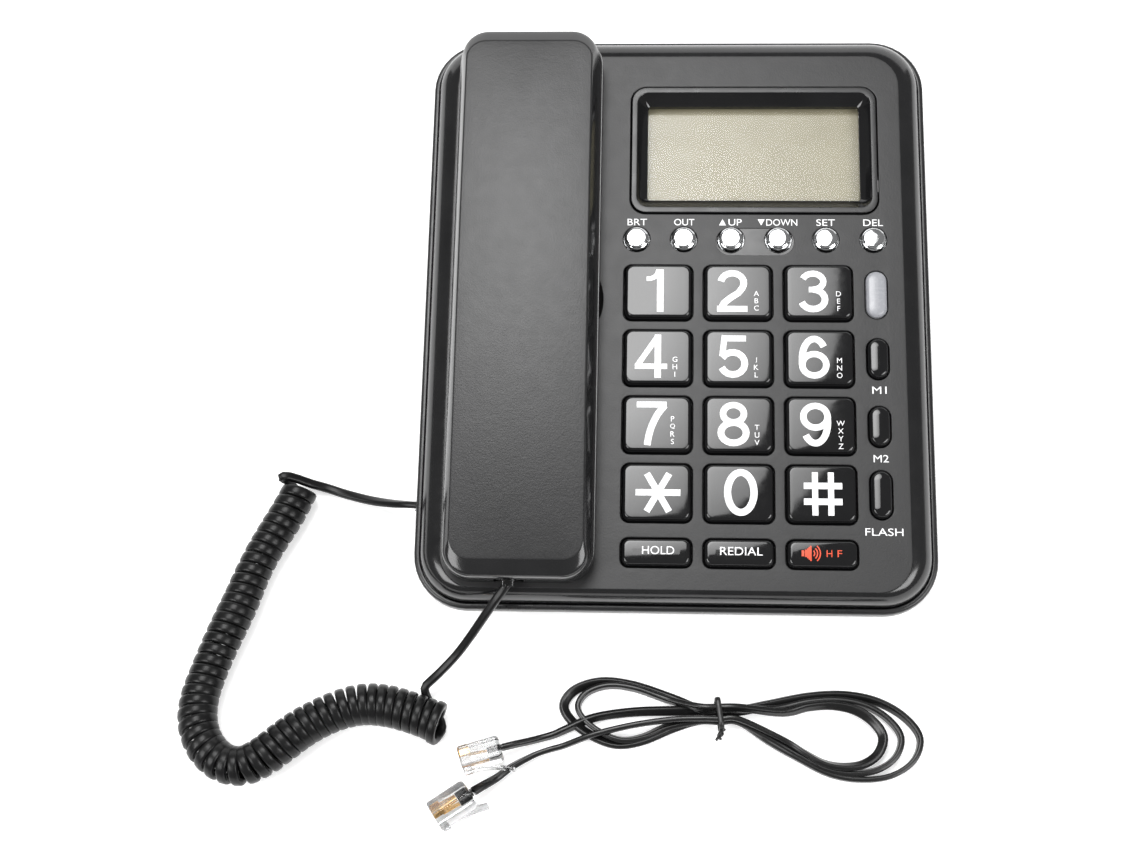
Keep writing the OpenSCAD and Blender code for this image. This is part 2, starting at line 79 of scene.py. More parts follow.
def box_mm(node):
    """Lowest and highest corners of a node's box, in millimetres."""
    low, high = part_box(node)
    return Vector(low) / MM, Vector(high) / MM


def on_face(node):
    """Middle of a node's box in the face's own frame, in millimetres."""
    low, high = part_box(node)
    return FACE.inverted() @ ((Vector(low) + Vector(high)) / 2)


BODY_WIDTH = box_mm("lower_housing")[1].x * 2
BODY_LENGTH = 190.5
HANDSET = on_face("handset_inner_shell")
BEZEL = on_face("display_bezel")

# ---- Points, curves and outlines ----


def smooth_route(points, spans):
    """Catmull-Rom curve through the points, with that many steps between two of them."""
    points = [Vector(p) for p in points]
    ends = [points[0] * 2 - points[1]] + points + [points[-1] * 2 - points[-2]]
    route = []
    for a, b, c, d in zip(ends, ends[1:], ends[2:], ends[3:]):
        for step in range(spans):
            t = step / spans
            route.append(0.5 * (2 * b + (c - a) * t + (2 * a - 5 * b + 4 * c - d) * t ** 2
                                + (3 * b - a - 3 * c + d) * t ** 3))
    return route + [points[-1]]


def join(start, start_way, end, end_way, count):
    """Points of a curve that leaves start along start_way and arrives at end along end_way."""
    points = []
    for step in range(1, count):
        t = step / count
        points.append(start * (2 * t ** 3 - 3 * t ** 2 + 1) + start_way * (t ** 3 - 2 * t ** 2 + t)
                      + end * (3 * t ** 2 - 2 * t ** 3) + end_way * (t ** 3 - t ** 2))
    return points


def distances(points):
    """Distance along a polyline to each of its points."""
    marks = [0.0]
    for a, b in zip(points, points[1:]):
        marks.append(marks[-1] + (b - a).length)
    return marks


def at_distance(points, marks, place):
    """Point and direction at a distance along a polyline."""
    i = min(max(bisect.bisect_right(marks, place) - 1, 0), len(points) - 2)
    way = points[i + 1] - points[i]
    return points[i] + way * ((place - marks[i]) / (marks[i + 1] - marks[i])), way.normalized()


def arc(centre, radii, start, end, steps=14):
    """Points of an elliptical arc between two angles in degrees."""
    points = []
    for step in range(steps + 1):
        angle = math.radians(start + (end - start) * step / steps)
        points.append((centre[0] + radii[0] * math.cos(angle), centre[1] + radii[1] * math.sin(angle)))
    return points


def rounded_loop(width, length, radius, centre=(0, 0), steps=6, straights=1):
    """Outline of a rounded rectangle, anticlockwise, with each straight side in that many pieces."""
    points = []
    for corner, (sx, sy) in enumerate(((1, 1), (-1, 1), (-1, -1), (1, -1))):
        middle = (centre[0] + sx * (width / 2 - radius), centre[1] + sy * (length / 2 - radius))
        points += arc(middle, (radius, radius), 90 * corner, 90 * corner + 90, steps)
    if straights == 1:
        return points
    full = []
    for i, (a, b) in enumerate(zip(points, points[1:] + points[:1])):
        pieces = straights if i % (steps + 1) == steps else 1
        full += [(a[0] + (b[0] - a[0]) * k / pieces, a[1] + (b[1] - a[1]) * k / pieces)
                 for k in range(pieces)]
    return full


def rounding(inset, level, radius, steps=4):
    """Profile of an outer edge: from a wall at inset, over a quarter circle, to a top at level."""
    return [(inset + radius * (1 - math.cos(math.radians(90 * i / steps))),
             level - radius + radius * math.sin(math.radians(90 * i / steps))) for i in range(steps + 1)]


# ---- Mesh work ----


def add_ring(mesh, points, level=0.0):
    """One vertex for each point. The level is a number or a function of x and y."""
    return [mesh.verts.new((p[0], p[1], level(p[0], p[1]) if callable(level) else level)) for p in points]


def bridge(mesh, first, second, material=0):
    """Band of faces between two rings with the same number of vertices."""
    count = len(first)
    for i in range(count):
        face = mesh.faces.new((first[i], first[(i + 1) % count], second[(i + 1) % count], second[i]))
        face.material_index = material


def loft(mesh, rings, material=0, cap_start=False, cap_end=False):
    """Skin over rings of vertices, closed at the ends that are asked for."""
    for first, second in zip(rings, rings[1:]):
        bridge(mesh, first, second, material)
    for wanted, ring in ((cap_start, rings[0]), (cap_end, rings[-1])):
        if wanted:
            mesh.faces.new(ring).material_index = material
    return rings


def profiled(mesh, size, profile, centre=(0, 0), steps=6, **caps):
    """Rounded rectangle of size (width, length, radius) with a profile of (inset, level) pairs."""
    width, length, radius = size
    rings = []
    for inset, level in profile:
        loop = rounded_loop(width - 2 * inset, length - 2 * inset, max(radius - inset, 0.2), centre, steps)
        rings.append(add_ring(mesh, loop, level))
    return loft(mesh, rings, **caps)


def plate(mesh, outline, holes, level, material=0):
    """Flat sheet between an outline and its holes, given as rings of vertices that are there already."""
    rings = [outline] + holes
    corners = [v for ring in rings for v in ring]
    edges = []
    start = 0
    for ring in rings:
        edges += [(start + i, start + (i + 1) % len(ring)) for i in range(len(ring))]
        start += len(ring)
    flat = [v.co.to_2d() for v in corners]
    found, _, faces, sources, _, _ = delaunay_2d_cdt(flat, edges, [], 1, 1e-5)
    home = [corners[s[0]] if s else mesh.verts.new((*found[i], level)) for i, s in enumerate(sources)]
    for face in faces:
        middle = sum((found[i] for i in face), Vector((0, 0))) / len(face)
        if not any(inside(middle, hole) for hole in holes):
            mesh.faces.new([home[i] for i in face]).material_index = material


def inside(point, ring):
    """Whether a point lies inside a ring of vertices, seen from above."""
    hits = 0
    for a, b in zip(ring, ring[1:] + ring[:1]):
        if (a.co.y > point.y) != (b.co.y > point.y):
            hits += point.x < a.co.x + (point.y - a.co.y) / (b.co.y - a.co.y) * (b.co.x - a.co.x)
    return hits % 2 == 1


def sweep(mesh, path, wides, section, material=0, sizes=None):
    """Solid with a section along a path. wides gives the way that the section's x points, sizes its width."""
    rings = []
    for i, point in enumerate(path):
        way = (path[min(i + 1, len(path) - 1)] - path[max(i - 1, 0)]).normalized()
        wide = (wides[i] - way * wides[i].dot(way)).normalized()
        out = way.cross(wide)
        size = sizes[i] if sizes else 1
        rings.append([mesh.verts.new(point + wide * x * size + out * y) for x, y in section])
    return loft(mesh, rings, material, cap_start=True, cap_end=True)


def prism(mesh, points, low, high, material=0):
    """Upright solid with an outline of (x, y) points."""
    return loft(mesh, [add_ring(mesh, points, low), add_ring(mesh, points, high)], material, True, True)


def block(mesh, low, high, edge=0.0):
    """Box between two corners, with its upright edges rounded by edge."""
    size = (high[0] - low[0], high[1] - low[1])
    centre = ((high[0] + low[0]) / 2, (high[1] + low[1]) / 2)
    points = rounded_loop(size[0], size[1], max(edge, 0.01), centre, 3 if edge else 1)
    return prism(mesh, points, low[2], high[2])


def to_data(name, mesh):
    """Mesh data made from a bmesh, which is freed."""
    data = bpy.data.meshes.new(name)
    mesh.to_mesh(data)
    mesh.free()
    return data


def add_object(name, data):
    """New object in the scene."""
    thing = bpy.data.objects.new(name, data)
    bpy.context.scene.collection.objects.link(thing)
    return thing


def finish_piece(name, mesh, body, materials, place=FACE, crease=38, bevel=0.0):
    """Turns a bmesh in millimetres into a finished piece that rides on its body."""
    bmesh.ops.recalc_face_normals(mesh, faces=mesh.faces)
    data = to_data(name, mesh)
    data.transform(place)
    piece = add_object(name, data)
    for material in materials:
        data.materials.append(material)
    shade(piece, crease, bevel)
    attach(piece, body)
    return piece


def shade(piece, crease=38, bevel=0.0):
    """Smooth shading with creases, and small rounded edges where a bevel is asked for."""
    piece.data.shade_smooth()
    piece.data.set_sharp_from_angle(angle=math.radians(crease))
    if bevel:
        edge = piece.modifiers.new("Edges", "BEVEL")
        edge.width = bevel * MM
        edge.segments = 2
        edge.limit_method = "ANGLE"
        edge.angle_limit = math.radians(crease)
        edge.harden_normals = True
    even = piece.modifiers.new("Even normals", "WEIGHTED_NORMAL")
    even.keep_sharp = True


def carve(piece, cutter):
    """Takes the cutter's mesh out of the piece, in millimetres and before the piece is placed."""
    pair = []
    for name, mesh in (("solid", piece), ("cutter", cutter)):
        bmesh.ops.recalc_face_normals(mesh, faces=mesh.faces)
        pair.append(add_object(name, to_data(name, mesh)))
    cut = pair[0].modifiers.new("Cut", "BOOLEAN")
    cut.operation = "DIFFERENCE"
    cut.solver = "EXACT"
    cut.use_self = True
    cut.object = pair[1]
    evaluated = pair[0].evaluated_get(bpy.context.evaluated_depsgraph_get())
    result = bmesh.new()
    result.from_mesh(evaluated.to_mesh())
    for thing in pair:
        data = thing.data
        bpy.data.objects.remove(thing)
        bpy.data.meshes.remove(data)
    return result


# ---- Materials ----


class Shader:
    """A Principled material with a few ways to add procedural detail."""

    def __init__(self, name, colour, roughness, **settings):
        self.material = bpy.data.materials.new(name)
        self.material.use_nodes = True
        self.tree = self.material.node_tree
        self.principled = self.tree.nodes["Principled BSDF"]
        self.put("Base Color", (*colour, 1))
        self.put("Roughness", roughness)
        for socket, value in settings.items():
            self.put(socket.replace("_", " "), value)
        self.place = self.node("TexCoord").outputs["Object"]

    def put(self, socket, value):
        self.principled.inputs[socket].default_value = value

    def node(self, kind, **values):
        """New node with values on its inputs, an underscore standing for a space."""
        node = self.tree.nodes.new("ShaderNode" + kind)
        for socket, value in values.items():
            node.inputs[socket.replace("_", " ")].default_value = value
        return node

    def link(self, source, node, socket):
        self.tree.links.new(source, node.inputs[socket])

    def noise(self, size, detail=3.0, stretch=(1, 1, 1)):
        """Noise with features of that size in millimetres."""
        mapping = self.node("Mapping", Scale=stretch)
        self.link(self.place, mapping, "Vector")
        texture = self.node("TexNoise", Scale=1 / (size * MM), Detail=detail)
        self.link(mapping.outputs["Vector"], texture, "Vector")
        return texture.outputs["Fac"]

    def spread(self, source, low, high, start=0.3, end=0.7):
        """Maps a noise value to a range of numbers or colours."""
        if isinstance(low, tuple):
            ramp = self.node("ValToRGB")
            for element, place, colour in zip(ramp.color_ramp.elements, (start, end), (low, high)):
                element.position = place
                element.color = (*colour, 1)
            self.link(source, ramp, "Fac")
            return ramp.outputs["Color"]
        mapped = self.node("MapRange", From_Min=start, From_Max=end, To_Min=low, To_Max=high)
        self.link(source, mapped, "Value")
        return mapped.outputs["Result"]

    def colour(self, source, low, high, start=0.3, end=0.7):
        self.link(self.spread(source, low, high, start, end), self.principled, "Base Color")

    def rough(self, source, low, high, start=0.3, end=0.7):
        self.link(self.spread(source, low, high, start, end), self.principled, "Roughness")

    def bump(self, source, height):
        """Surface relief with a height in millimetres, on top of any that is there."""
        relief = self.node("Bump", Strength=1, Distance=height * MM)
        self.link(source, relief, "Height")
        before = self.principled.inputs["Normal"].links
        if before:
            self.link(before[0].from_socket, relief, "Normal")
        self.link(relief.outputs["Normal"], self.principled, "Normal")


def black(level):
    """Near-black with a trace of blue."""
    return level, level, level + 0.0005


def grained(name, dark, light, rough, grain, height, **settings):
    """Moulded plastic with a spark-eroded grain of that size and height."""
    shader = Shader(name, light, rough[0], **settings)
    shader.colour(shader.noise(9, 4), dark, light)
    shader.rough(shader.noise(4, 4), *rough)
    shader.bump(shader.noise(grain, 2), height)
    shader.bump(shader.noise(grain * 3.2, 3), height * 0.8)
    return shader.material


def polished(name, dark, light, rough=(0.09, 0.16), wave=0.006, **settings):
    """Glossy moulded plastic with faint flow marks."""
    shader = Shader(name, light, rough[0], **settings)
    shader.colour(shader.noise(14, 3), dark, light)
    shader.rough(shader.noise(2.5, 5), *rough)
    shader.bump(shader.noise(6, 2), wave)
    return shader.material


def metal(name, dark, light, rough, size=1.5, height=0.004):
    """Bare metal with marks of that size in millimetres."""
    shader = Shader(name, light, rough[0], Metallic=1.0)
    shader.colour(shader.noise(size * 3, 3), dark, light)
    shader.rough(shader.noise(size, 4), *rough)
    shader.bump(shader.noise(size * 0.6, 3), height)
    return shader.material


FACE_PLASTIC = grained("Grained face plastic", black(0.0125), black(0.0155), (0.4, 0.43), 0.55, 0.03)
HANDSET_PLASTIC = grained("Grained handset plastic", black(0.012), black(0.015), (0.31, 0.34), 0.5, 0.03,
                          Specular_IOR_Level=0.41)
RIM_PLASTIC = grained("Satin rim plastic", black(0.011), black(0.016), (0.26, 0.34), 0.8, 0.008)
SHOULDER_PLASTIC = polished("Polished shell plastic", black(0.009), black(0.013), (0.13, 0.2))
PILL_PLASTIC = polished("Satin plate plastic", black(0.014), black(0.02), (0.2, 0.26))
BEZEL_PLASTIC = polished("Gloss bezel plastic", black(0.006), black(0.009), (0.06, 0.1))
KEY_PLASTIC = polished("Gloss key plastic", black(0.006), black(0.009), (0.04, 0.08), 0.003)
INNER_PLASTIC = grained("Black moulded plastic", (0.008, 0.008, 0.008), (0.014, 0.014, 0.014), (0.3, 0.42),
                        0.7, 0.01)
CORD_PVC = grained("Cord sheath", (0.006, 0.006, 0.0062), (0.009, 0.009, 0.0092), (0.27, 0.33), 0.6, 0.008,
                   Specular_IOR_Level=0.22)
LINE_PVC = grained("Line cord sheath", (0.008, 0.008, 0.008), (0.011, 0.011, 0.011), (0.22, 0.29), 0.6, 0.006,
                   Specular_IOR_Level=0.4)
FOOT_RUBBER = grained("Foot rubber", (0.02, 0.02, 0.02), (0.032, 0.031, 0.03), (0.7, 0.85), 0.5, 0.02)
MEMBRANE = grained("Silicone membrane", (0.52, 0.52, 0.5), (0.6, 0.6, 0.58), (0.5, 0.62), 1.2, 0.01)
CHROME = metal("Button chrome", (0.78, 0.79, 0.8), (0.84, 0.85, 0.86), (0.03, 0.07), 2.0, 0.002)
STEEL = metal("Screw steel", (0.42, 0.42, 0.43), (0.56, 0.56, 0.57), (0.25, 0.4))
GOLD = metal("Contact gold", (0.75, 0.44, 0.16), (0.86, 0.55, 0.24), (0.2, 0.32))


def handset_edge():
    """Side of the handset: gloss, but as matte as its back at the far end."""
    shader = Shader("Handset edge plastic", black(0.012), 0.3)
    shader.colour(shader.noise(9, 3), black(0.0105), black(0.0135))
    split = shader.node("SeparateXYZ")
    shader.link(shader.place, split, "Vector")
    shader.rough(split.outputs["Y"], 0.16, 0.38, 0.066, 0.084)
    shader.bump(shader.noise(0.6, 2), 0.008)
    return shader.material


def print_ink(name, colour):
    """Printed ink, a little uneven."""
    shader = Shader(name, colour, 0.3)
    dark = tuple(0.93 * c for c in colour)
    shader.colour(shader.noise(1.5, 3), dark, colour)
    shader.rough(shader.noise(0.8, 3), 0.28, 0.4)
    shader.bump(shader.noise(0.4, 2), 0.003)
    return shader.material


def window_clear():
    """Clear window. It lets the panel under it show, so it is thin to light and keeps its gloss."""
    shader = Shader("Clear display window", (0.05, 0.055, 0.05), 0.04, Alpha=0.1, IOR=1.49)
    shader.rough(shader.noise(5, 3), 0.03, 0.07)
    return shader.material


def plug_clear():
    """Clear moulded plastic of a plug."""
    shader = Shader("Clear plug plastic", (0.7, 0.705, 0.71), 0.06, Transmission_Weight=1.0, IOR=1.46)
    shader.rough(shader.noise(1.5, 3), 0.04, 0.12)
    shader.bump(shader.noise(1.2, 3), 0.02)
    return shader.material


def lcd_glass():
    """Blank liquid crystal panel: grey-beige with a faint uneven cast."""
    shader = Shader("Liquid crystal panel", (0.32, 0.30, 0.22), 0.35, Coat_Weight=0.5, Coat_Roughness=0.05)
    shader.colour(shader.noise(16, 3), (0.33, 0.3, 0.195), (0.37, 0.338, 0.225), 0.25, 0.75)
    shader.rough(shader.noise(3, 4), 0.3, 0.42)
    shader.bump(shader.noise(2, 3), 0.002)
    return shader.material


def milky_lens():
    """Milky white plastic of the indicator lens."""
    shader = Shader("Milky lens", (0.29, 0.3, 0.32), 0.3)
    shader.colour(shader.noise(4, 3), (0.28, 0.285, 0.305), (0.3, 0.305, 0.325))
    shader.rough(shader.noise(1.5, 3), 0.2, 0.32)
    return shader.material


def circuit_board():
    """Green solder mask with a faint pattern of tracks."""
    shader = Shader("Circuit board", (0.02, 0.12, 0.05), 0.35)
    shader.colour(shader.noise(1.2, 2, (1, 8, 1)), (0.012, 0.085, 0.035), (0.03, 0.15, 0.065), 0.45, 0.55)
    shader.rough(shader.noise(2, 3), 0.28, 0.42)
    shader.bump(shader.noise(1.2, 2, (1, 8, 1)), 0.03)
    return shader.material


PRINT_WHITE = print_ink("White print", (0.87, 0.87, 0.88))
PRINT_RED = print_ink("Orange-red print", (0.72, 0.07, 0.02))
WINDOW_CLEAR = window_clear()
PLUG_CLEAR = plug_clear()
LCD_PANEL = lcd_glass()
LENS_WHITE = milky_lens()
BOARD_GREEN = circuit_board()
HANDSET_EDGE = handset_edge()
SPEAKER_METAL = metal("Loudspeaker steel", (0.22, 0.22, 0.22), (0.34, 0.34, 0.33), (0.35, 0.5))
CELL_WRAP = polished("Cell wrap", (0.35, 0.22, 0.03), (0.45, 0.3, 0.05), (0.2, 0.3))

# ---- Camera ----

CAMERA_PLACE = Vector((-6.3, -247.2, 513.8))
CAMERA_TARGET = Vector((-34.2, -27.5, 0))
CAMERA_UP = Vector((-0.009, 0.9193, 0.3935))
FOCAL_LENGTH = 53.7


def aimed(place, target, up):
    """Matrix that puts an object at place and turns its -Z to the target, in metres."""
    back = (place - target).normalized()
    right = up.cross(back).normalized()
    turn = Matrix((right, back.cross(right), back)).transposed().to_4x4()
    return Matrix.Translation(place * MM) @ turn


def make_camera():
    """Camera high above the part and somewhat in front of it."""
    data = bpy.data.cameras.new("Camera")
    data.lens = FOCAL_LENGTH
    data.sensor_width = 36
    data.clip_start = 0.01
    camera = add_object("Camera", data)
    camera.matrix_world = aimed(CAMERA_PLACE, CAMERA_TARGET, CAMERA_UP)
    bpy.context.scene.camera = camera


make_camera()

# ---- Curly cord ----

CURL_WIDTH = 3.1
CURL_THICKNESS = 2.3
CURL_TURNS = 52
CURL_STEPS = 22
COIL_RADIUS = 4.55
# The straight leads from the handset and from the base, and the line that the coil lies along
HANDSET_ROUTE = [(-49.8, -90.4, 28.2), (-51, -92, 27.9), (-53.5, -95, 26), (-57.5, -99.4, 21.5),
                 (-61.5, -103.6, 16.5), (-66, -108, 11.5), (-71, -112.5, 8.2), (-75.4, -116.4, 6.6)]
BASE_ROUTE = [(-80.2, -59, 9.5), (-85, -58.4, 8.6), (-91, -57, 5.8), (-98, -55, 3), (-106, -52.6, 1.8),
              (-112, -50.8, 2.2), (-117, -50, 4)]
COIL_ROUTE = [(-120, -52), (-123.5, -60.5), (-127, -67.5), (-130.4, -74.5), (-133.2, -82), (-135.6, -90),
              (-138.4, -98), (-141.2, -106), (-143.6, -114), (-145.2, -121.5), (-145, -129), (-142, -136),
              (-136.5, -141), (-130, -142.2), (-124, -139.4), (-118.5, -135), (-113, -130.6), (-107, -127),
              (-100.5, -124.2), (-94, -122.8), (-87, -123.2), (-80.5, -124.8), (-74.5, -126.8),
              (-70.5, -128.4)]
UP = Vector((0, 0, 1))
CONTACT_PITCH = 1.02
LINE_WIDTH = 3.1
LINE_THICKNESS = 1.9


def sheath_section(width, thickness, groove, count=18):
    """Flat cord with rounded sides and a shallow groove along the middle of both faces."""
    section = []
    for i in range(count):
        angle = 2 * math.pi * i / count
        x = math.copysign(abs(math.cos(angle)) ** 0.7, math.cos(angle)) * width / 2
        y = math.copysign(abs(math.sin(angle)) ** 0.6, math.sin(angle)) * thickness / 2
        section.append((x, y * (1 - groove * math.exp(-(x / (0.16 * width)) ** 2))))
    return section


def coil_turns():
    """Helix along the coil's route: points, and the coil's own axis at each."""
    axis = smooth_route([(x, y, 0) for x, y in COIL_ROUTE], 12)
    marks = distances(axis)
    steps = int((CURL_TURNS + 0.25) * CURL_STEPS)
    points = []
    ways = []
    for step in range(steps + 1):
        share = step / steps
        along = share + 0.13 * share * (1 - share) + 0.0012 * math.sin(40 * share)
        last = max(0.0, 1 - (1 - share) * (CURL_TURNS + 0.25) / 0.9)
        radius = COIL_RADIUS + 0.75 * share + 0.12 * math.sin(31 * share) + 0.7 * last
        centre, way = at_distance(axis, marks, marks[-1] * along)
        side = way.cross(UP)
        angle = 2 * math.pi * step / CURL_STEPS
        height = radius + CURL_THICKNESS / 2 + 0.05
        points.append(centre + UP * height + side * radius * math.cos(angle) - UP * radius * math.sin(angle))
        ways.append(way)
    return points, ways


def lead_sides(points, sign):
    """Level sideways direction at each point of a lead that lies flat."""
    sides = []
    for i in range(len(points)):
        way = points[min(i + 1, len(points) - 1)] - points[max(i - 1, 0)]
        sides.append((UP.cross(way) * sign).normalized())
    return sides


def curly_cord():
    """The whole cord as one tube: lead from the base, coil, lead to the handset. Returns its path too."""
    coil, ways = coil_turns()
    base = smooth_route(BASE_ROUTE, 5)
    ear = smooth_route(HANDSET_ROUTE[::-1], 5)
    over = Vector((-125.6, -49.4, 9.2))
    base_end = (base[-1] - base[-2]).normalized()
    rise = join(base[-1], base_end * 5, over, Vector((-5, -2.2, 0.2)), 4)
    first = (coil[1] - coil[0]).normalized()
    start = rise + [over] + join(over, Vector((-4.5, -2, 0.2)), coil[0], first * 7, 6)
    leave = (coil[-1] - coil[-2]).normalized()
    arrive = (ear[1] - ear[0]).normalized()
    end = join(coil[-1], leave * 12, ear[0], arrive * 12, 9)
    path = base + start + coil + end + ear
    before = len(base + start)
    lead_in = lead_sides(path[:before + 1], 1)[:before]
    lead_out = lead_sides(path[before + len(coil):], -1)
    for i in range(len(end)):
        lead_out[i] = lead_out[i].lerp(ways[-1], 1 - (i + 1) / (len(end) + 1))
    for i in range(6):
        lead_in[before - 1 - i] = lead_in[before - 1 - i].lerp(ways[0], 1 - (i + 1) / 7)
    for i in range(24):
        lead_in[i] = lead_in[i].lerp(UP, 0.85 * (1 - i / 24))
    mesh = bmesh.new()
    section = sheath_section(CURL_WIDTH, CURL_THICKNESS, 0.08)
    sizes = [0.92] * before + [1.14 - 0.24 * i / len(coil) for i in range(len(coil))]
    sweep(mesh, path, lead_in + ways + lead_out, section, sizes=sizes + [0.85] * len(lead_out))
    bmesh.ops.recalc_face_normals(mesh, faces=mesh.faces)
    data = to_data("curly_cord", mesh)
    data.transform(TABLE)
    data.materials.append(CORD_PVC)
    data.shade_smooth()
    return add_object("curly_cord", data), path


def modular_plug(name, body, place, size, latch_angle, sheath):
    """Clear plug. Its cord enters at x = 0, its contacts are at x = -length, and its latch is on +z."""
    length, width, height = size
    mesh = bmesh.new()
    half = height / 2
    turned = []
    for x, inset in ((0, 0.7), (-0.4, 0.25), (-1.2, 0), (-length + 0.6, 0), (-length, 0.35)):
        loop = rounded_loop(width - 2 * inset, height - 2 * inset, 0.7)
        turned.append([mesh.verts.new((x, p[0], p[1])) for p in loop])
    loft(mesh, turned, 0, True, True)
    block(mesh, (-length + 0.3, 1.4 - width / 2, half - 0.1),
          (-length + 2.6, width / 2 - 1.4, half + 1.1), 0.3)
    tilt = math.radians(latch_angle)
    reach = length * 1.12
    root = Vector((-length + 1.2, 0, half + 0.7))
    lever = [root + reach * t * Vector((math.cos(tilt * t), 0, math.sin(tilt * t)))
             for t in (0, 0.2, 0.4, 0.6, 0.8, 1)]
    blade = [(-1.5, -0.45), (1.5, -0.45), (1.6, 0), (1.5, 0.45), (-1.5, 0.45), (-1.6, 0)]
    sweep(mesh, lever, [Vector((0, 1, 0))] * len(lever), blade)
    shell = finish_piece(name, mesh, body, [PLUG_CLEAR], place, 50)
    parts = bmesh.new()
    for i in range(4):
        y = (i - 1.5) * CONTACT_PITCH
        block(parts, (-length + 0.5, y - 0.17, -half + 0.35), (-length + 3.4, y + 0.17, -half + 2.6))
        wire = [Vector((-length + 2.8, y, -half + 2.7)), Vector((-length + 4.4, y * 0.9, -0.4)),
                Vector((-4.4, y * 0.6, 0))]
        sweep(parts, wire, [Vector((0, 1, 0))] * 3, arc((0, 0), (0.3, 0.3), 0, 300, 5))
    stub = [Vector((0.6, 0, 0)), Vector((-2, 0, 0)), Vector((-4.2, 0, 0))]
    sweep(parts, stub, [Vector((0, 1, 0))] * 3, sheath_section(min(LINE_WIDTH, width - 3), 1.8, 0.3), 1)
    contacts = finish_piece(name + "_contacts", parts, body, [GOLD, sheath], place, 40)
    return [shell, contacts]


def plug_turned(rear, turn, roll):
    """Placement of a plug whose rear middle is at that point, in metres."""
    return (Matrix.Translation(rear * MM) @ Matrix.Rotation(math.radians(turn), 4, "Z")
            @ Matrix.Rotation(math.radians(roll), 4, "X") @ TABLE)


def curly_cord_with_plugs():
    """The curly cord and the plugs at its two ends, which sit in their sockets."""
    cord, path = curly_cord()
    low, high = box_mm("base_plug")
    rear = Vector((low.x + 0.2, (low.y + high.y) / 2, (low.z + high.z) / 2))
    base_place = (Matrix.Translation(rear * MM) @ Matrix.Rotation(math.pi, 4, "Z")
                  @ Matrix.Rotation(math.pi, 4, "X") @ TABLE)
    base_plug = modular_plug("base_plug_shell", "base", base_place, (13.4, 7.4, 5.8), -10, INNER_PLASTIC)
    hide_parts("base_plug")
    low, high = box_mm("handset_plug")
    ear = on_face("handset_plug")
    ear_place = FACE @ Matrix.Translation((ear.x, ear.y - 5, ear.z)) @ Matrix.Rotation(-math.pi / 2, 4, "Z")
    handset_plug = modular_plug("handset_plug_shell", "handset", ear_place, (9.4, 6.6, 3.9), -6,
                                INNER_PLASTIC)
    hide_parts("handset_plug")
    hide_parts("handset_lead", "cord_coil", "base_lead")
    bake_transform(cord)


curly_cord_with_plugs()

# ---- Line cord ----

TIE = (14, -123.3)
# The tails from the plugs to the tie
TAIL_A = [(-51.4, -134.8, 4.6), (-48, -133.8, 4.2), (-44, -132.6, 3.2), (-40, -131.3, 2.3),
          (-36, -130, 2.1), (-32.6, -128.4, 2.1), (-24, -124.6, 1.9), (-12, -122.6, 1.8), (0, -122, 1.6)]
TAIL_B = [(-59.5, -148.4, 5.6), (-57, -146.6, 4.6), (-53, -143.6, 2.4), (-49, -140.4, 2.1), (-45, -138, 2.1),
          (-41, -136, 2.1), (-37, -134.6, 2.1), (-33, -133.4, 2.1), (-24, -130.2, 3.6), (-12, -127.2, 4.2),
          (0, -125.4, 4.6)]
# Lobes of the hank as seen from above, from the tie and back to it
RIGHT_LOBE = [(29, -119.6), (41, -117), (52, -116.2), (62, -118), (70, -122.6), (74.4, -129), (72, -136),
              (65, -140.6), (56, -141.8), (47, -140.4), (38, -136), (29, -131)]
LEFT_LOBE = [(0, -127.6), (-9, -131.4), (-17, -132.6), (-24.6, -130), (-31, -125.4), (-33.4, -120.6),
             (-30, -115.8), (-22, -113.2), (-12, -114.2), (0, -118)]


def lobe(outline, lap, level):
    """One lap of a lobe: the outline pulled towards the tie and towards its own middle."""
    middle = Vector((sum(p[0] for p in outline) / len(outline), sum(p[1] for p in outline) / len(outline)))
    points = []
    for x, y in outline:
        pulled = middle + (Vector((x, y)) - middle) * (1 - 0.135 * lap)
        pulled.x += (TIE[0] - pulled.x) * 0.05 * lap
        points.append(Vector((pulled.x, pulled.y, level)))
    return points


def through_tie(turn, heading):
    """Points where one pass of the cord goes through the tie, in two columns of three."""
    y = TIE[1] + (1.8 if turn % 2 else -1.8)
    z = 1.1 + 2.0 * (turn // 2)
    return [Vector((TIE[0] + heading * x, y, z)) for x in (-6, 0, 6)]


# Name ending, middle of the rear, turn, roll and latch angle of each plug
LINE_PLUGS = [("a", (-51.8, -135, 4.9), 18, 90, 15), ("b", (-60.3, -149, 5.9), 35, 130, 12)]
LINE_PLUG_SIZE = (12.8, 9.5, 6.5)


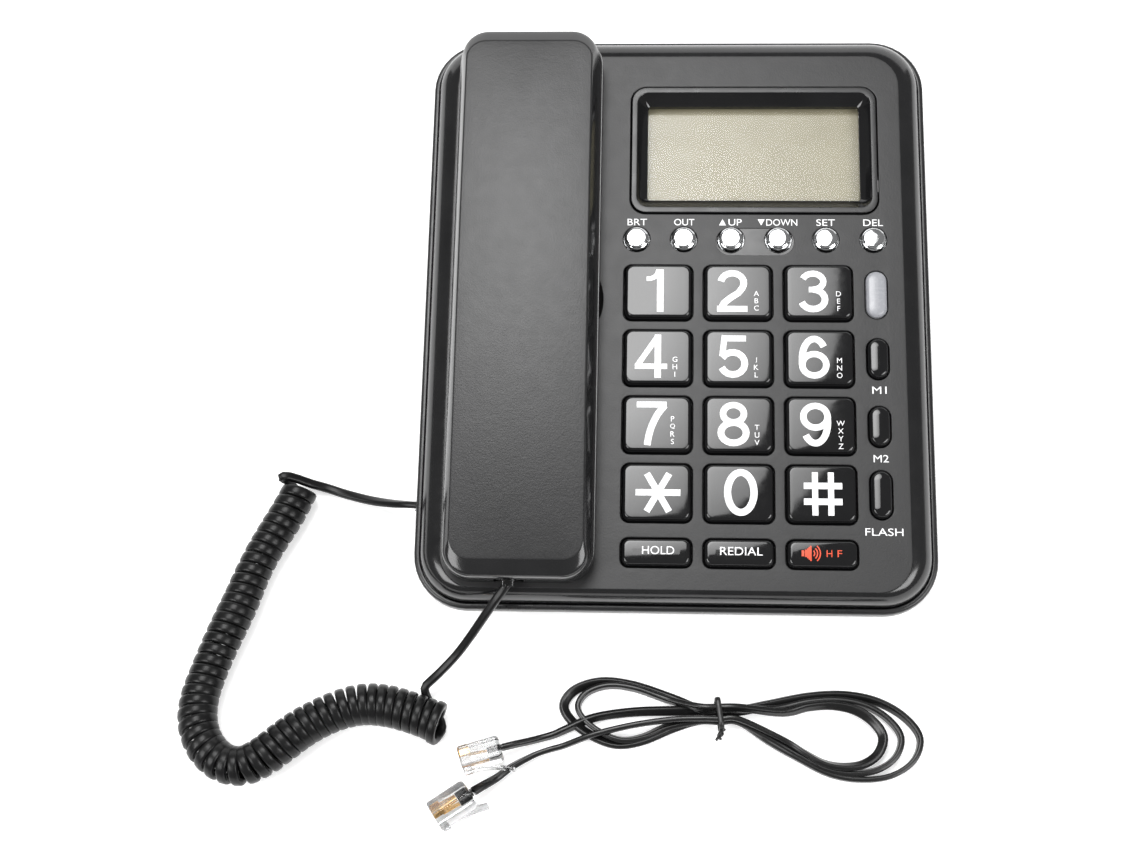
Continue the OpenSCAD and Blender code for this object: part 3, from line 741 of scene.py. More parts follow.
def line_cord():
    """The cord from plug to plug, through the tie and round its lobes, with its plugs and tie."""
    route = [Vector(p) for p in TAIL_A] + through_tie(1, 1)
    route += lobe(RIGHT_LOBE, 0, 1.15) + through_tie(0, -1) + lobe(LEFT_LOBE, 0, 1.15) + through_tie(3, 1)
    route += lobe(RIGHT_LOBE, 1, 1.9) + through_tie(2, -1) + lobe(LEFT_LOBE, 1, 1.9) + through_tie(5, 1)
    route += lobe(RIGHT_LOBE, 2, 2.6) + through_tie(4, -1) + [Vector(p) for p in TAIL_B[::-1]]
    path = smooth_route(route, 6)
    sides = []
    for i, side in enumerate(lead_sides(path, 1)):
        share = i / (len(path) - 1)
        roll = math.radians(84 - 50 * math.sin(14 * share) ** 4)
        sides.append(side * math.cos(roll) + UP * math.sin(roll))
    mesh = bmesh.new()
    sweep(mesh, path, sides, sheath_section(LINE_WIDTH, LINE_THICKNESS, 0.3))
    cord = finish_piece("line_cord", mesh, "line_cord", [LINE_PVC], TABLE, 60)
    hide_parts("line_hank", "line_lead_a", "line_lead_b")
    plugs = []
    for letter, rear, turn, roll, latch in LINE_PLUGS:
        plug = modular_plug("line_plug_shell_" + letter, "line_cord", plug_turned(Vector(rear), turn, roll),
                            LINE_PLUG_SIZE, latch, LINE_PVC)
        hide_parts("line_plug_" + letter)
        plugs += plug
    tie = cord_tie()


TWIST_RADIUS = 0.55


def cord_tie():
    """Twist tie round the hank, with its two twisted ends."""
    mesh = bmesh.new()
    turn = math.radians(8)
    across = Vector((math.cos(turn), math.sin(turn), 0))
    along = Vector((-math.sin(turn), math.cos(turn), 0))
    loop = [Vector((TIE[0], TIE[1], 0)) + along * p[0] + UP * (3.35 + p[1])
            for p in rounded_loop(9.4, 6.9, 1.6)]
    band = arc((0, 0), (0.85, 0.4), 0, 330, 11)
    rings = []
    for i, point in enumerate(loop):
        way = (loop[(i + 1) % len(loop)] - loop[i - 1]).normalized()
        out = way.cross(across)
        rings.append([mesh.verts.new(point + across * x + out * y) for x, y in band])
    loft(mesh, rings + rings[:1])
    for phase in (0, math.pi):
        tail = []
        for step in range(25):
            t = step / 24
            twist = phase + t * 2 * math.pi
            tail.append(Vector((TIE[0] + 0.9 - 1.2 * t, TIE[1] - 4.9 - 2.6 * t, 5.2 - 2.6 * t))
                        + (across * math.cos(twist) + UP * math.sin(twist)) * TWIST_RADIUS)
        sweep(mesh, tail, [across] * len(tail), arc((0, 0), (0.5, 0.5), 0, 300, 5))
    tie = finish_piece("twist_tie", mesh, "line_cord", [INNER_PLASTIC], TABLE, 50)
    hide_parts("cord_tie")
    return tie


line_cord()

# ---- Floor and light ----


def make_floor():
    """White paper with a little light of its own, so that it stays white right up to the part."""
    mesh = bmesh.new()
    bmesh.ops.create_grid(mesh, x_segments=2, y_segments=2, size=4)
    floor = add_object("Floor", to_data("Floor", mesh))
    shader = Shader("Lit studio paper", (0.82, 0.82, 0.82), 0.7, Emission_Strength=0.45)
    shader.put("Emission Color", (1, 1, 1, 1))
    shader.rough(shader.noise(40, 2), 0.65, 0.8)
    floor.data.materials.append(shader.material)


def softbox(name, place, target, size, radiance, edge=1.0):
    """Area light set by how bright its middle looks. A round one has one size, and dims towards its edge."""
    data = bpy.data.lights.new(name, "AREA")
    data.shape = "RECTANGLE" if len(size) == 2 else "DISK"
    data.size = size[0]
    data.size_y = size[-1]
    area = size[0] * size[-1] * (1 if len(size) == 2 else math.pi / 4)
    data.energy = radiance * math.pi * area
    light = add_object(name, data)
    light.matrix_world = aimed(Vector(place), Vector(target), Vector((0, 1, 0.1)))
    if edge == 1:
        return
    data.use_nodes = True
    nodes = data.node_tree.nodes
    links = data.node_tree.links
    spot = nodes.new("ShaderNodeNewGeometry").outputs["Parametric"]
    reach = nodes.new("ShaderNodeVectorMath")
    reach.operation = "DISTANCE"
    reach.inputs[1].default_value = (0.5, 0.5, 0)
    links.new(spot, reach.inputs[0])
    dim = nodes.new("ShaderNodeMapRange")
    for socket, value in zip(("From Min", "From Max", "To Min", "To Max"), (0.23, 0.5, 1, edge)):
        dim.inputs[socket].default_value = value
    links.new(reach.outputs["Value"], dim.inputs["Value"])
    links.new(dim.outputs["Result"], nodes["Emission"].inputs["Strength"])


def make_light():
    """A bright round light overhead, one on each side in front, a broad one behind, and a grey world."""
    world = bpy.data.worlds.new("Studio")
    world.use_nodes = True
    background = world.node_tree.nodes["Background"]
    background.inputs["Color"].default_value = (1, 1, 1, 1)
    background.inputs["Strength"].default_value = 0.22
    bpy.context.scene.world = world
    softbox("Overhead light", (-180, 320, 1400), (-180, 320, 0), (0.84,), 11, 0.4)
    softbox("Left light", (-650, -430, 740), (0, 0, 20), (0.5, 0.5), 8)
    softbox("Right light", (650, -430, 740), (0, 0, 20), (0.5, 0.5), 8)
    softbox("Back light", (0, 1100, 360), (0, 0, 60), (2.4, 0.8), 1.6)
    bpy.context.scene.view_settings.view_transform = "Standard"


make_floor()
make_light()

# ---- Upper housing ----

DIGIT_NODES = ["key_" + n for n in ("1", "2", "3", "4", "5", "6", "7", "8", "9", "star", "0", "hash")]
LOW_KEY_NODES = ["key_hold", "key_redial", "key_handsfree"]
ROUND_NODES = ["button_" + n for n in ("brt", "out", "up", "down", "set", "del")]
SIDE_NODES = ["button_m1", "button_m2", "button_flash"]
# Width, length and corner radius of each kind of hole, then the lengths of the oblong ones
KEY_HOLE = (21.8, 18.6, 2.5)
LOW_KEY_HOLE = (21.8, 9.2, 2.5)
ROUND_HOLE = 8.4
SIDE_HOLE = 7.0
SIDE_LENGTHS = (13.4, 13.2, 15.4)
LENS_LENGTH = 15.8
LIP = 0.35
# Upper shell at its foot, and how far its shoulder comes in
SHELL_SIZE = (BODY_WIDTH - 4.2, BODY_LENGTH - 4.2)
SHELL_CORNER = 15.2
SIDE_SHOULDER = 7.7
FRONT_SHOULDER = 3.6
# Wells for the handset's ends, dish beside its grip, hook opening, plate round two buttons
WELL = (37, 41, 7)
WELL_PLACES = (-62, 62)
RECESS = (-40.1, 2)
HOOK = (8, 14, 3)
HOOK_PLACE = 31
PILL = (24.8, 21.7)
PILL_SIZE = (24.6, 9.1, 4.5)
PILL_DEPTH = 0.25


def hole(mesh, size, centre, depth, floor=None, steps=6, material=0, top=0.0):
    """Rim, rounded lip and wall of a hole. Returns the ring that the sheet around it ends on."""
    width, length, radius = size
    profile = [(-LIP + LIP * math.sin(math.radians(a)), top - LIP + LIP * math.cos(math.radians(a)))
               for a in (0, 30, 60, 90)]
    profile.append((0, top - depth))
    if floor:
        profile += [(floor, top - depth - 0.7 * floor), (3 * floor, top - depth - floor)]
    rings = profiled(mesh, (width, length, radius), profile, centre, steps, material=material,
                     cap_end=bool(floor))
    return rings[0]


def shoulder_ring(mesh, turn, drop=0.0):
    """Outline of the upper shell where its elliptical shoulder has turned by an angle."""
    share = 1 - math.cos(math.radians(turn))
    level = -RIM_DROP * (1 - math.sin(math.radians(turn))) - drop
    width = SHELL_SIZE[0] - 2 * SIDE_SHOULDER * share
    length = SHELL_SIZE[1] - (SIDE_SHOULDER + FRONT_SHOULDER) * share
    shift = (FRONT_SHOULDER - SIDE_SHOULDER) * share / 2
    radius = SHELL_CORNER - 5.2 * share
    return add_ring(mesh, rounded_loop(width, length, radius, (0, shift), 12), level)


def upper_housing():
    """Shoulder, and a face with openings for everything that comes through it."""
    mesh = bmesh.new()
    rings = [shoulder_ring(mesh, 0, 3.6)]
    rings += [shoulder_ring(mesh, turn) for turn in (0, 9, 18, 27, 36, 45, 54, 63, 72, 80, 86)]
    loft(mesh, rings, 1)
    edge = shoulder_ring(mesh, 90)
    bridge(mesh, rings[-1], edge, 0)
    holes = [hole(mesh, KEY_HOLE, on_face(n), 3) for n in DIGIT_NODES]
    holes += [hole(mesh, LOW_KEY_HOLE, on_face(n), 3) for n in LOW_KEY_NODES]
    rounds = (ROUND_HOLE, ROUND_HOLE, ROUND_HOLE / 2 - 0.01)
    holes += [hole(mesh, rounds, on_face(n), 3) for n in ROUND_NODES[:2] + ROUND_NODES[4:]]
    sides = list(zip(SIDE_NODES, SIDE_LENGTHS)) + [("indicator_lens", LENS_LENGTH)]
    holes += [hole(mesh, (SIDE_HOLE, length, SIDE_HOLE / 2 - 0.01), on_face(n), 3) for n, length in sides]
    holes.append(hole(mesh, (79, 44, 5), BEZEL, 1, steps=8))
    holes += [hole(mesh, WELL, (HANDSET.x, v), 7.2, floor=0.8) for v in WELL_PLACES]
    holes.append(hole(mesh, HOOK, (HANDSET.x, HOOK_PLACE), 2))
    holes.append(finger_dish(mesh))
    holes.append(button_plate(mesh, rounds))
    plate(mesh, edge, holes, 0.0)
    shell = finish_piece("upper_shell", mesh, "base",
                         [FACE_PLASTIC, SHOULDER_PLASTIC, PILL_PLASTIC])
    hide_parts("upper_housing")


def finger_dish(mesh):
    """Round dish beside the grip of the handset."""
    rings = []
    for radius, level in ((17.35, 0), (17.2, -0.1), (17, -0.35), (16.4, -1.1), (15.2, -1.6), (12, -1.85),
                          (7, -1.95)):
        loop = arc(RECESS, (radius, radius), 0, 360 - 360 / 48, 47)
        rings.append(add_ring(mesh, loop, level))
    loft(mesh, rings, cap_end=True)
    return rings[0]


def button_plate(mesh, rounds):
    """Sunk satin plate that ties the UP and DOWN buttons together."""
    rings = profiled(mesh, PILL_SIZE, [(-0.1, 0), (0, -0.08), (0.02, -PILL_DEPTH)], PILL, 10, material=2)
    inner = [hole(mesh, rounds, on_face(n), 3, material=2, top=-PILL_DEPTH) for n in ROUND_NODES[2:4]]
    plate(mesh, rings[-1], inner, -PILL_DEPTH, 2)
    return rings[0]


upper_housing()

# ---- Lower housing ----

RIM_CORNER = 17
TRAY_INSET = 6
WALL = 2.4
# Level that the upper shell sits down to, inside the rim
SEAT = -12
SCREWS = [(-70, 0), (-22, -76), (69.8, -75), (69.8, 60), (14, 82)]


def on_level(points, z):
    """The same outline carried along the face's normal to a level above the table."""
    return [(x, y, (z - FACE_HEIGHT - y * math.sin(SLOPE)) / math.cos(SLOPE)) for x, y in points]


def lower_housing():
    """Rim and tray as one solid, then its openings are cut."""
    mesh = bmesh.new()

    def outline(inset, radius):
        return rounded_loop(BODY_WIDTH - 2 * inset, BODY_LENGTH - 2 * inset, radius, (0, 0), 10)

    rings = []
    for inset, z in ((TRAY_INSET + 1.1, FOOT_HEIGHT), (TRAY_INSET + 0.35, FOOT_HEIGHT + 0.35),
                     (TRAY_INSET, FOOT_HEIGHT + 1.1)):
        rings.append([mesh.verts.new(p) for p in on_level(outline(inset, 13), z)])
    bottom = -RIM_DROP - RIM_HEIGHT
    # Inset, level and corner radius, round the rim from below and down its inside
    profile = [(TRAY_INSET, bottom - 0.6, 13), (TRAY_INSET - 0.6, bottom, 13.4), (1.6, bottom, 15.6),
               (0.7, bottom + 0.3, 16.4), (0.2, bottom + 0.9, 16.8), (0, bottom + 1.8, RIM_CORNER),
               (0, -RIM_DROP - 1.3, RIM_CORNER), (0.12, -RIM_DROP - 0.6, 16.9),
               (0.45, -RIM_DROP - 0.15, 16.6),
               (0.9, -RIM_DROP, 16.2), (1.5, -RIM_DROP, 15.6), (1.72, -RIM_DROP - 0.1, 15.4),
               (1.8, -RIM_DROP - 0.4, 15.2), (1.8, SEAT, 15.2), (TRAY_INSET + WALL, SEAT, 11)]
    rings += [add_ring(mesh, outline(inset, radius), level) for inset, level, radius in profile]
    rings.append([mesh.verts.new(p) for p in on_level(outline(TRAY_INSET + WALL, 11), FLOOR_HEIGHT)])
    loft(mesh, rings, 0, True, True)
    mesh.transform(TABLE.inverted() @ FACE)
    solid = carve(mesh, lower_openings())
    battery_walls(solid)
    tray = finish_piece("lower_shell", solid, "base", [RIM_PLASTIC], TABLE, 40)
    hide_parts("lower_housing")


def lower_openings():
    """Everything that is cut from the lower housing, as one mesh."""
    cutter = bmesh.new()
    top = FLOOR_HEIGHT + 1
    for y in (-50, 30):
        neck = arc((0, y), (4, 4), 122, 418, 16) + arc((0, y + 8), (2.1, 2.1), 0, 180, 8)
        prism(cutter, neck, -1, top)
    for turn in range(8):
        for radius in (6, 12, 18):
            angle = math.radians(45 * turn)
            centre = (38 + radius * math.cos(angle), -20 + radius * math.sin(angle))
            prism(cutter, arc(centre, (1.1, 1.1), 0, 330, 11), -1, top)
    for u, v in SCREWS:
        centre = FACE @ Vector((u, v, -30)) / MM
        prism(cutter, arc(centre, (3.1, 3.1), 0, 345, 23), -1, top)
    low, high = box_mm("battery_door")
    block(cutter, (low.x - 0.3, low.y - 0.3, -1), (high.x + 0.3, 110, FLOOR_HEIGHT + 0.01))
    low, high = box_mm("handset_jack")
    block(cutter, (low.x - 12, low.y - 0.1, FLOOR_HEIGHT - 0.01), (low.x + 5, high.y + 0.1, high.z + 0.1))
    low, high = box_mm("line_jack")
    block(cutter, (low.x - 0.1, high.y - 5, FLOOR_HEIGHT - 0.02), (high.x + 0.1, high.y + 12, high.z + 0.1))
    return cutter


def battery_walls(mesh):
    """Walls of the battery compartment, above the opening that the door covers."""
    low, high = box_mm("battery_contacts")
    low -= Vector((2.5, 3, 0))
    high += Vector((2.5, 3, 0))
    for corner, end in (((low.x, low.y), (low.x + 2, high.y)), ((high.x - 2, low.y), (high.x, high.y)),
                        ((low.x + 2, low.y), (high.x - 2, low.y + 2)),
                        ((low.x + 2, high.y - 2), (high.x - 2, high.y))):
        block(mesh, (*corner, FLOOR_HEIGHT + 0.1), (*end, high.z + 2))
    block(mesh, (low.x, low.y, high.z + 2.05), (high.x, high.y, high.z + 3.2))


lower_housing()

# ---- Display ----


BEZEL_WIDTH = 78.6
BEZEL_LENGTH = 43.6


def display_bezel():
    """Satin strip with rounded edges, then gloss walls that slope in to the window."""
    mesh = bmesh.new()
    # Inset, corner radius and level
    steps = [(0.1, 4.9, -1), (0.1, 4.9, 0.25), (0.2, 4.8, 0.42), (0.4, 4.6, 0.5), (1.7, 3.9, 0.5),
             (1.95, 3.7, 0.42), (2.1, 3.5, 0.2), (3.4, 2.2, -1.3), (5.0, 1.2, -2.6), (5.3, 0.8, -2.75),
             (5.35, 0.8, -4.4)]
    rings = []
    for inset, radius, level in steps:
        width = BEZEL_WIDTH - 2 * inset
        length = BEZEL_LENGTH - 2 * inset * (5.5 / 5.35)
        rings.append(add_ring(mesh, rounded_loop(width, length, radius, BEZEL, 8), level))
    stem = rounded_loop(BEZEL_WIDTH - 3.2, BEZEL_LENGTH - 3.2, 3.9, BEZEL, 8)
    outer = add_ring(mesh, stem, -4.4)
    under = add_ring(mesh, stem, -1)
    loft(mesh, [under] + rings + [outer, under])
    for face in mesh.faces:
        face.material_index = int(face.calc_center_median().z > 0.35)
    bezel = finish_piece("display_frame", mesh, "base", [BEZEL_PLASTIC, RIM_PLASTIC],
                         crease=50)
    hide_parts("display_bezel")


display_bezel()

# ---- Keys ----

KEY_RISE = 2.2
KEY_EDGE = 0.75
KEY_DRAFT = 0.42
INK_LIFT = 0.05
INK_SINK = -0.03


class Cap:
    """Domed cap of a key: its place on the face and the height of its top."""

    def __init__(self, node, size, dome):
        self.node = node
        self.place = on_face(node)
        self.size = size
        self.dome = dome

    def top(self, x, y):
        """Height of the cap above the face at a point measured from its middle."""
        fall = self.dome[0] * (2 * x / self.size[0]) ** 2 + self.dome[1] * (2 * y / self.size[1]) ** 2
        return KEY_RISE - fall

    def build(self):
        """Skirt, walls with a little draft, rounded edge and domed top."""
        mesh = bmesh.new()
        width, length, radius = self.size
        profile = [(-0.7, -4), (-0.7, -3.1), (0, -3), (0, 0), (KEY_DRAFT, KEY_RISE - KEY_EDGE)]
        for angle in (20, 40, 60, 78, 90):
            turn = math.radians(angle)
            profile.append((KEY_DRAFT + KEY_EDGE * (1 - math.cos(turn)),
                            KEY_RISE - KEY_EDGE * (1 - math.sin(turn))))
        inner = KEY_DRAFT + KEY_EDGE
        reach = min(width, length) / 2 - 0.7
        profile += [(inner + (reach - inner) * i / 6, KEY_RISE) for i in (1, 2, 3, 4, 5, 6)]
        rings = []
        for inset, level in profile:
            corner = radius * (1 - inset / (reach + 0.4))
            loop = rounded_loop(width - 2 * inset, length - 2 * inset, corner, (0, 0), 5, 10)
            if level > 0:
                height = (lambda x, y, d=KEY_RISE - level: self.top(x, y) - d)
            else:
                height = level
            rings.append(add_ring(mesh, loop, height))
        loft(mesh, rings, 0, True, True)
        mesh.transform(Matrix.Translation((self.place.x, self.place.y, 0)))
        cap = finish_piece(self.node + "_cap", mesh, self.node, [KEY_PLASTIC], crease=60)
        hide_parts(self.node)


# Usual width of a large character's strokes, and what all of them are drawn at
STROKE = 2.3
PEN = 0.9


def digit_strokes(sign):
    """Middle lines of a large character, as strokes of (points, width), about its own middle."""
    shapes = {
        "1": [([(1.0, -7), (1.0, 7)], STROKE),
              ([(-3.3, 3.9), (-2.0, 3.95), (-0.9, 4.4), (0.0, 5.3), (0.5, 6.9)], 1.7)],
        "2": [(arc((0, 2.6), (3.6, 3.25), 170, -28) + [(1.9, -0.7), (-0.7, -2.4), (-2.6, -4.0), (-3.6, -6.1)],
               STROKE), ([(-4.75, -5.9), (4.7, -5.9)], 2.1)],
        "3": [(arc((0, 3.2), (3.25, 2.65), 160, -90), 2.2), (arc((0, -2.65), (3.7, 3.2), 90, -162), STROKE),
              ([(-1.3, 0.55), (0.3, 0.55)], 2.0)],
        "4": [([(2.1, -7), (2.1, 7)], 2.2), ([(-5.0, -3.3), (5.0, -3.3)], 1.9),
              ([(1.9, 6.2), (-4.2, -3.0)], 1.9)],
        "5": [([(-2.9, 5.9), (4.1, 5.9)], 2.1), ([(-2.5, 6.9), (-3.3, 0.1)], 2.0),
              (arc((0, -2.2), (3.7, 3.6), 150, -158), STROKE)],
        "6": [(arc((0.05, -2.45), (3.7, 3.45), 0, 360, 28), 2.2),
              (arc((0.1, -0.6), (3.75, 6.5), 38, 180, 16) + [(-3.65, -2.4)], STROKE)],
        "7": [([(-4.6, 5.9), (4.6, 5.9)], 2.1),
              (smooth_pairs([(4.0, 5.6), (2.0, 3.0), (0.3, -0.4), (-0.7, -3.6), (-1.3, -7)]), STROKE)],
        "8": [(arc((0, 3.2), (3.2, 2.75), 0, 360, 28), 2.2),
              (arc((0, -2.85), (3.85, 3.2), 0, 360, 28), STROKE)],
        "9": [(arc((-0.05, 2.45), (3.7, 3.45), 0, 360, 28), 2.2),
              (arc((-0.1, 0.6), (3.75, 6.5), 218, 360, 16) + [(3.65, 2.4)], STROKE)],
        "0": [(arc((0, 0), (4.0, 6.2), 0, 360, 36), 2.4)],
        "*": [(ends, 2.2) for ends in ([(-6.8, 0), (6.8, 0)], [(-3.4, -5.9), (3.4, 5.9)],
                                       [(-3.4, 5.9), (3.4, -5.9)])],
        "#": [([(x, -6.7), (x, 6.7)], 2.0) for x in (-2.4, 2.4)]
             + [([(-5.8, y), (5.8, y)], 2.2) for y in (-2.45, 2.45)],
    }
    return shapes[sign]


def smooth_pairs(points):
    """Smooth line through (x, y) points."""
    return [(p.x, p.y) for p in smooth_route([(x, y, 0) for x, y in points], 5)]


def split_long(points, step=1.2):
    """The same line with no piece longer than step, so that it follows a domed cap."""
    line = [Vector((*points[0], 0))]
    for p in points[1:]:
        start = line[-1].copy()
        end = Vector((*p, 0))
        count = max(1, math.ceil((end - start).length / step))
        line += [start.lerp(end, (i + 1) / count) for i in range(count)]
    return line


def ink_strokes(mesh, strokes, shift, surface):
    """Printed lines that lie on a surface: each stroke is a thin flat solid."""
    for number, (points, width) in enumerate(strokes):
        line = [p + Vector((*shift, 0)) for p in split_long(points)]
        closed = (line[0] - line[-1]).length < 0.01
        if closed:
            line.pop()
        rings = []
        for i, point in enumerate(line):
            after = line[(i + 1) % len(line)] if closed else line[min(i + 1, len(line) - 1)]
            before = line[i - 1] if closed else line[max(i - 1, 0)]
            side = UP.cross(after - before).normalized() * width * PEN / 2
            lift = INK_LIFT + 0.004 * number
            ring = []
            for offset, height in ((-1, INK_SINK), (1, INK_SINK), (1, lift), (0, lift), (-1, lift)):
                p = point + side * offset
                ring.append(mesh.verts.new((p.x, p.y, surface(p.x, p.y) + height)))
            rings.append(ring)
        loft(mesh, rings + rings[:1] if closed else rings, 0, not closed, not closed)


def ink_letters(mesh, text, centre, height, surface, width=None):
    """Letters as thin solids, scaled to a height and laid on a surface."""
    curve = bpy.data.curves.new("letters", "FONT")
    curve.body = text
    curve.extrude = 0.01
    curve.resolution_u = 5
    holder = add_object("letters", curve)
    shape = bpy.data.meshes.new_from_object(holder.evaluated_get(bpy.context.evaluated_depsgraph_get()))
    low = [min(v.co[i] for v in shape.vertices) for i in (0, 1)]
    high = [max(v.co[i] for v in shape.vertices) for i in (0, 1)]
    stretch_y = height / (high[1] - low[1])
    stretch_x = width / (high[0] - low[0]) if width else stretch_y
    for vertex in shape.vertices:
        x = centre[0] + (vertex.co.x - (low[0] + high[0]) / 2) * stretch_x
        y = centre[1] + (vertex.co.y - (low[1] + high[1]) / 2) * stretch_y
        lift = INK_LIFT if vertex.co.z > 0 else INK_SINK
        vertex.co = (x, y, surface(x, y) + lift)
    mesh.from_mesh(shape)
    bpy.data.meshes.remove(shape)
    bpy.data.objects.remove(holder)
    bpy.data.curves.remove(curve)


def finish_ink(name, mesh, body, place=(0, 0), material=PRINT_WHITE):
    """Makes a piece of printed strokes and letters that were drawn about a place on the face."""
    bmesh.ops.remove_doubles(mesh, verts=mesh.verts, dist=0.0008)
    mesh.transform(Matrix.Translation((place[0], place[1], 0)))
    return finish_piece(name, mesh, body, [material], crease=30)


# Sign, its shift from the cap's middle, and the letter group with its middle
LEGENDS = [("1", (-0.4, 0), "", None), ("2", (-1.9, 0), "ABC", (5.6, -3.2)),
           ("3", (-1.8, 0), "DEF", (6.1, -3.2)), ("4", (-2.1, 0), "GHI", (5.3, -3.4)),
           ("5", (-1.8, 0), "JKL", (5.4, -3.4)),
           ("6", (-1.8, 0), "MNO", (6.0, -3.4)), ("7", (-1.75, 0), "PQRS", (4.7, -2.2)),
           ("8", (-1.65, 0), "TUV", (5.5, -3.5)), ("9", (-1.6, 0), "WXYZ", (6.0, -3.2)),
           ("*", (0.4, -0.3), "", None), ("0", (0.5, 0), "", None), ("#", (0.3, -0.2), "", None)]


def digit_keys():
    """Twelve large keys, each with its sign and its column of small letters."""
    for node, (sign, shift, letters, middle) in zip(DIGIT_NODES, LEGENDS):
        cap = Cap(node, (KEY_HOLE[0] - 0.6, KEY_HOLE[1] - 0.6, 2.2), (0.14, 0.09))
        cap.build()
        mesh = bmesh.new()
        ink_strokes(mesh, digit_strokes(sign), shift, cap.top)
        for i, letter in enumerate(letters):
            y = middle[1] + 2.4 * ((len(letters) - 1) / 2 - i)
            ink_letters(mesh, letter, (middle[0], y), 1.65, cap.top)
        finish_ink(node + "_print", mesh, node, cap.place)


def low_keys():
    """Three low keys: two with a word, one with a loudspeaker sign and two letters."""
    size = (LOW_KEY_HOLE[0] - 0.6, LOW_KEY_HOLE[1] - 0.6, 2.2)
    caps = [Cap(node, size, (0.16, 0.13)) for node in LOW_KEY_NODES]
    for cap, text, width in zip(caps, ("HOLD", "REDIAL", ""), (9.7, 12.8, 0)):
        cap.build()
        if text:
            mesh = bmesh.new()
            ink_letters(mesh, text, (0.6, 0.4), 2.5, cap.top, width)
            finish_ink(cap.node + "_print", mesh, cap.node, cap.place)
    cap = caps[2]
    mesh = bmesh.new()
    strokes = [([(-6.0, -0.9), (-6.0, 0.9)], 0.9), ([(-5.0, -1.1), (-5.0, 1.1)], 0.9),
               ([(-4.55, -1.5), (-4.55, 1.5)], 0.5), ([(-4.1, -1.9), (-4.1, 1.9)], 0.5),
               ([(-3.65, -2.3), (-3.65, 2.3)], 0.5)]
    strokes += [(arc((-3.4, 0), (r, r * 1.1), -52, 52, 8), 0.42) for r in (0.9, 1.75, 2.6)]
    ink_strokes(mesh, strokes, (0, 0), cap.top)
    ink_letters(mesh, "H", (1.9, 0), 2.1, cap.top, 1.7)
    ink_letters(mesh, "F", (5.0, 0), 2.1, cap.top, 1.4)
    finish_ink(cap.node + "_print", mesh, cap.node, cap.place, PRINT_RED)


digit_keys()
low_keys()


def round_buttons():
    """Chromed buttons with a flat top, a rounded edge and a narrow skirt."""
    profile = [(4.9, -4), (4.9, -3.1), (3.85, -3), (3.85, 0.5), (3.8, 0.75), (3.65, 0.9), (3.45, 1.0),
               (3.4, 1.35), (3.3, 1.55), (3.1, 1.68), (2.6, 1.74), (1.4, 1.78)]
    for node in ROUND_NODES:
        place = on_face(node)
        mesh = bmesh.new()
        rings = [add_ring(mesh, arc(place, (r, r), 0, 360 - 360 / 40, 39), level) for r, level in profile]
        loft(mesh, rings, 0, True, True)
        button = finish_piece(node + "_cap", mesh, node, [CHROME], crease=50)
        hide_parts(node)


def side_buttons():
    """Oblong gloss buttons and the milky lens above them."""
    lengths = dict(zip(SIDE_NODES, SIDE_LENGTHS))
    lengths["indicator_lens"] = LENS_LENGTH
    for node, length in lengths.items():
        lens = node == "indicator_lens"
        size = (SIDE_HOLE - 0.5, length - 0.5, SIDE_HOLE / 2 - 0.26)
        rise = 0.9 if lens else 1.8
        profile = [(-0.5, -4), (-0.5, -3.2), (0, -3.1), (0, 0.1), (0.25, rise * 0.6)]
        profile += rounding(0.35, rise, 0.75)[1:]
        profile += [(1.7, rise + 0.12), (2.4, rise + 0.18), (2.9, rise + 0.2)]
        mesh = bmesh.new()
        profiled(mesh, size, profile, on_face(node), 8, cap_start=True, cap_end=True)
        body = "base" if lens else node
        material = LENS_WHITE if lens else KEY_PLASTIC
        button = finish_piece(node + "_cap", mesh, body, [material],
                              crease=60)
        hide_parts(node)


round_buttons()
side_buttons()


def flat(x, y):
    """Level of the face, for words that are printed on it."""
    return 0.0


def face_labels():
    """Printed words above the round buttons and below the side buttons."""
    mesh = bmesh.new()
    label_v = on_face(ROUND_NODES[0]).y + 5.8
    places = [on_face(n).x for n in ROUND_NODES]
    words = (("BRT", 0.1, 6.2), ("OUT", 0.1, 6.4), ("UP", 1.3, 4.2), ("DOWN", 1.1, 9.8), ("SET", 0, 5.9),
             ("DEL", 0, 6.2))
    for place, (text, shift, width) in zip(places, words):
        ink_letters(mesh, text, (place + shift, label_v), 2.2, flat, width)
    for place, way in ((places[2] - 2.7, 1), (places[3] - 5.4, -1)):
        triangle = [(place - 1.1, label_v - 1.05 * way), (place + 1.1, label_v - 1.05 * way),
                    (place, label_v + 1.05 * way)]
        prism(mesh, triangle, INK_SINK, INK_LIFT)
    words = (("M1", 0.2, 3.3, 4.4), ("M2", 0.2, 3.4, 4.6), ("FLASH", 0.6, 3.7, 11.4))
    for node, length, (text, shift, gap, width) in zip(SIDE_NODES, SIDE_LENGTHS, words):
        place = on_face(node)
        ink_letters(mesh, text, (place.x + shift, place.y - length / 2 - gap), 2.3, flat, width)
    finish_ink("face_labels", mesh, "base")


face_labels()

# ---- Handset ----

HANDSET_WIDTH = 46.2
HANDSET_LENGTH = 176.6
# The back arches along its length by ARCH, is highest at ARCH_TOP behind its middle, and bulges across
# its width by CROWN. It begins at insets of BACK_EDGE from the sides and the ends.
ARCH = 2.6
ARCH_TOP = 30
ARCH_RISE = 0.8
CROWN = 0.46
BACK_EDGE = (3.6, 5.6)
BACK_LEVEL = 18
BACK_STEPS = 8
# Inset at the sides, inset at the ends, corner radius, level above the face
HANDSET_PROFILE = [(0.3, 0.0, 9.0, 8.1), (0.5, 0.0, 8.9, 10.0), (0.9, 0.1, 8.6, 12.0), (1.5, 0.35, 8.2, 14.2),
                   (1.9, 0.7, 7.9, 15.3), (2.2, 1.6, 7.5, 16.1), (2.6, 3.2, 6.9, 17.0),
                   (2.95, 4.6, 6.4, 17.7), (3.2, 5.1, 6.1, 17.93)]


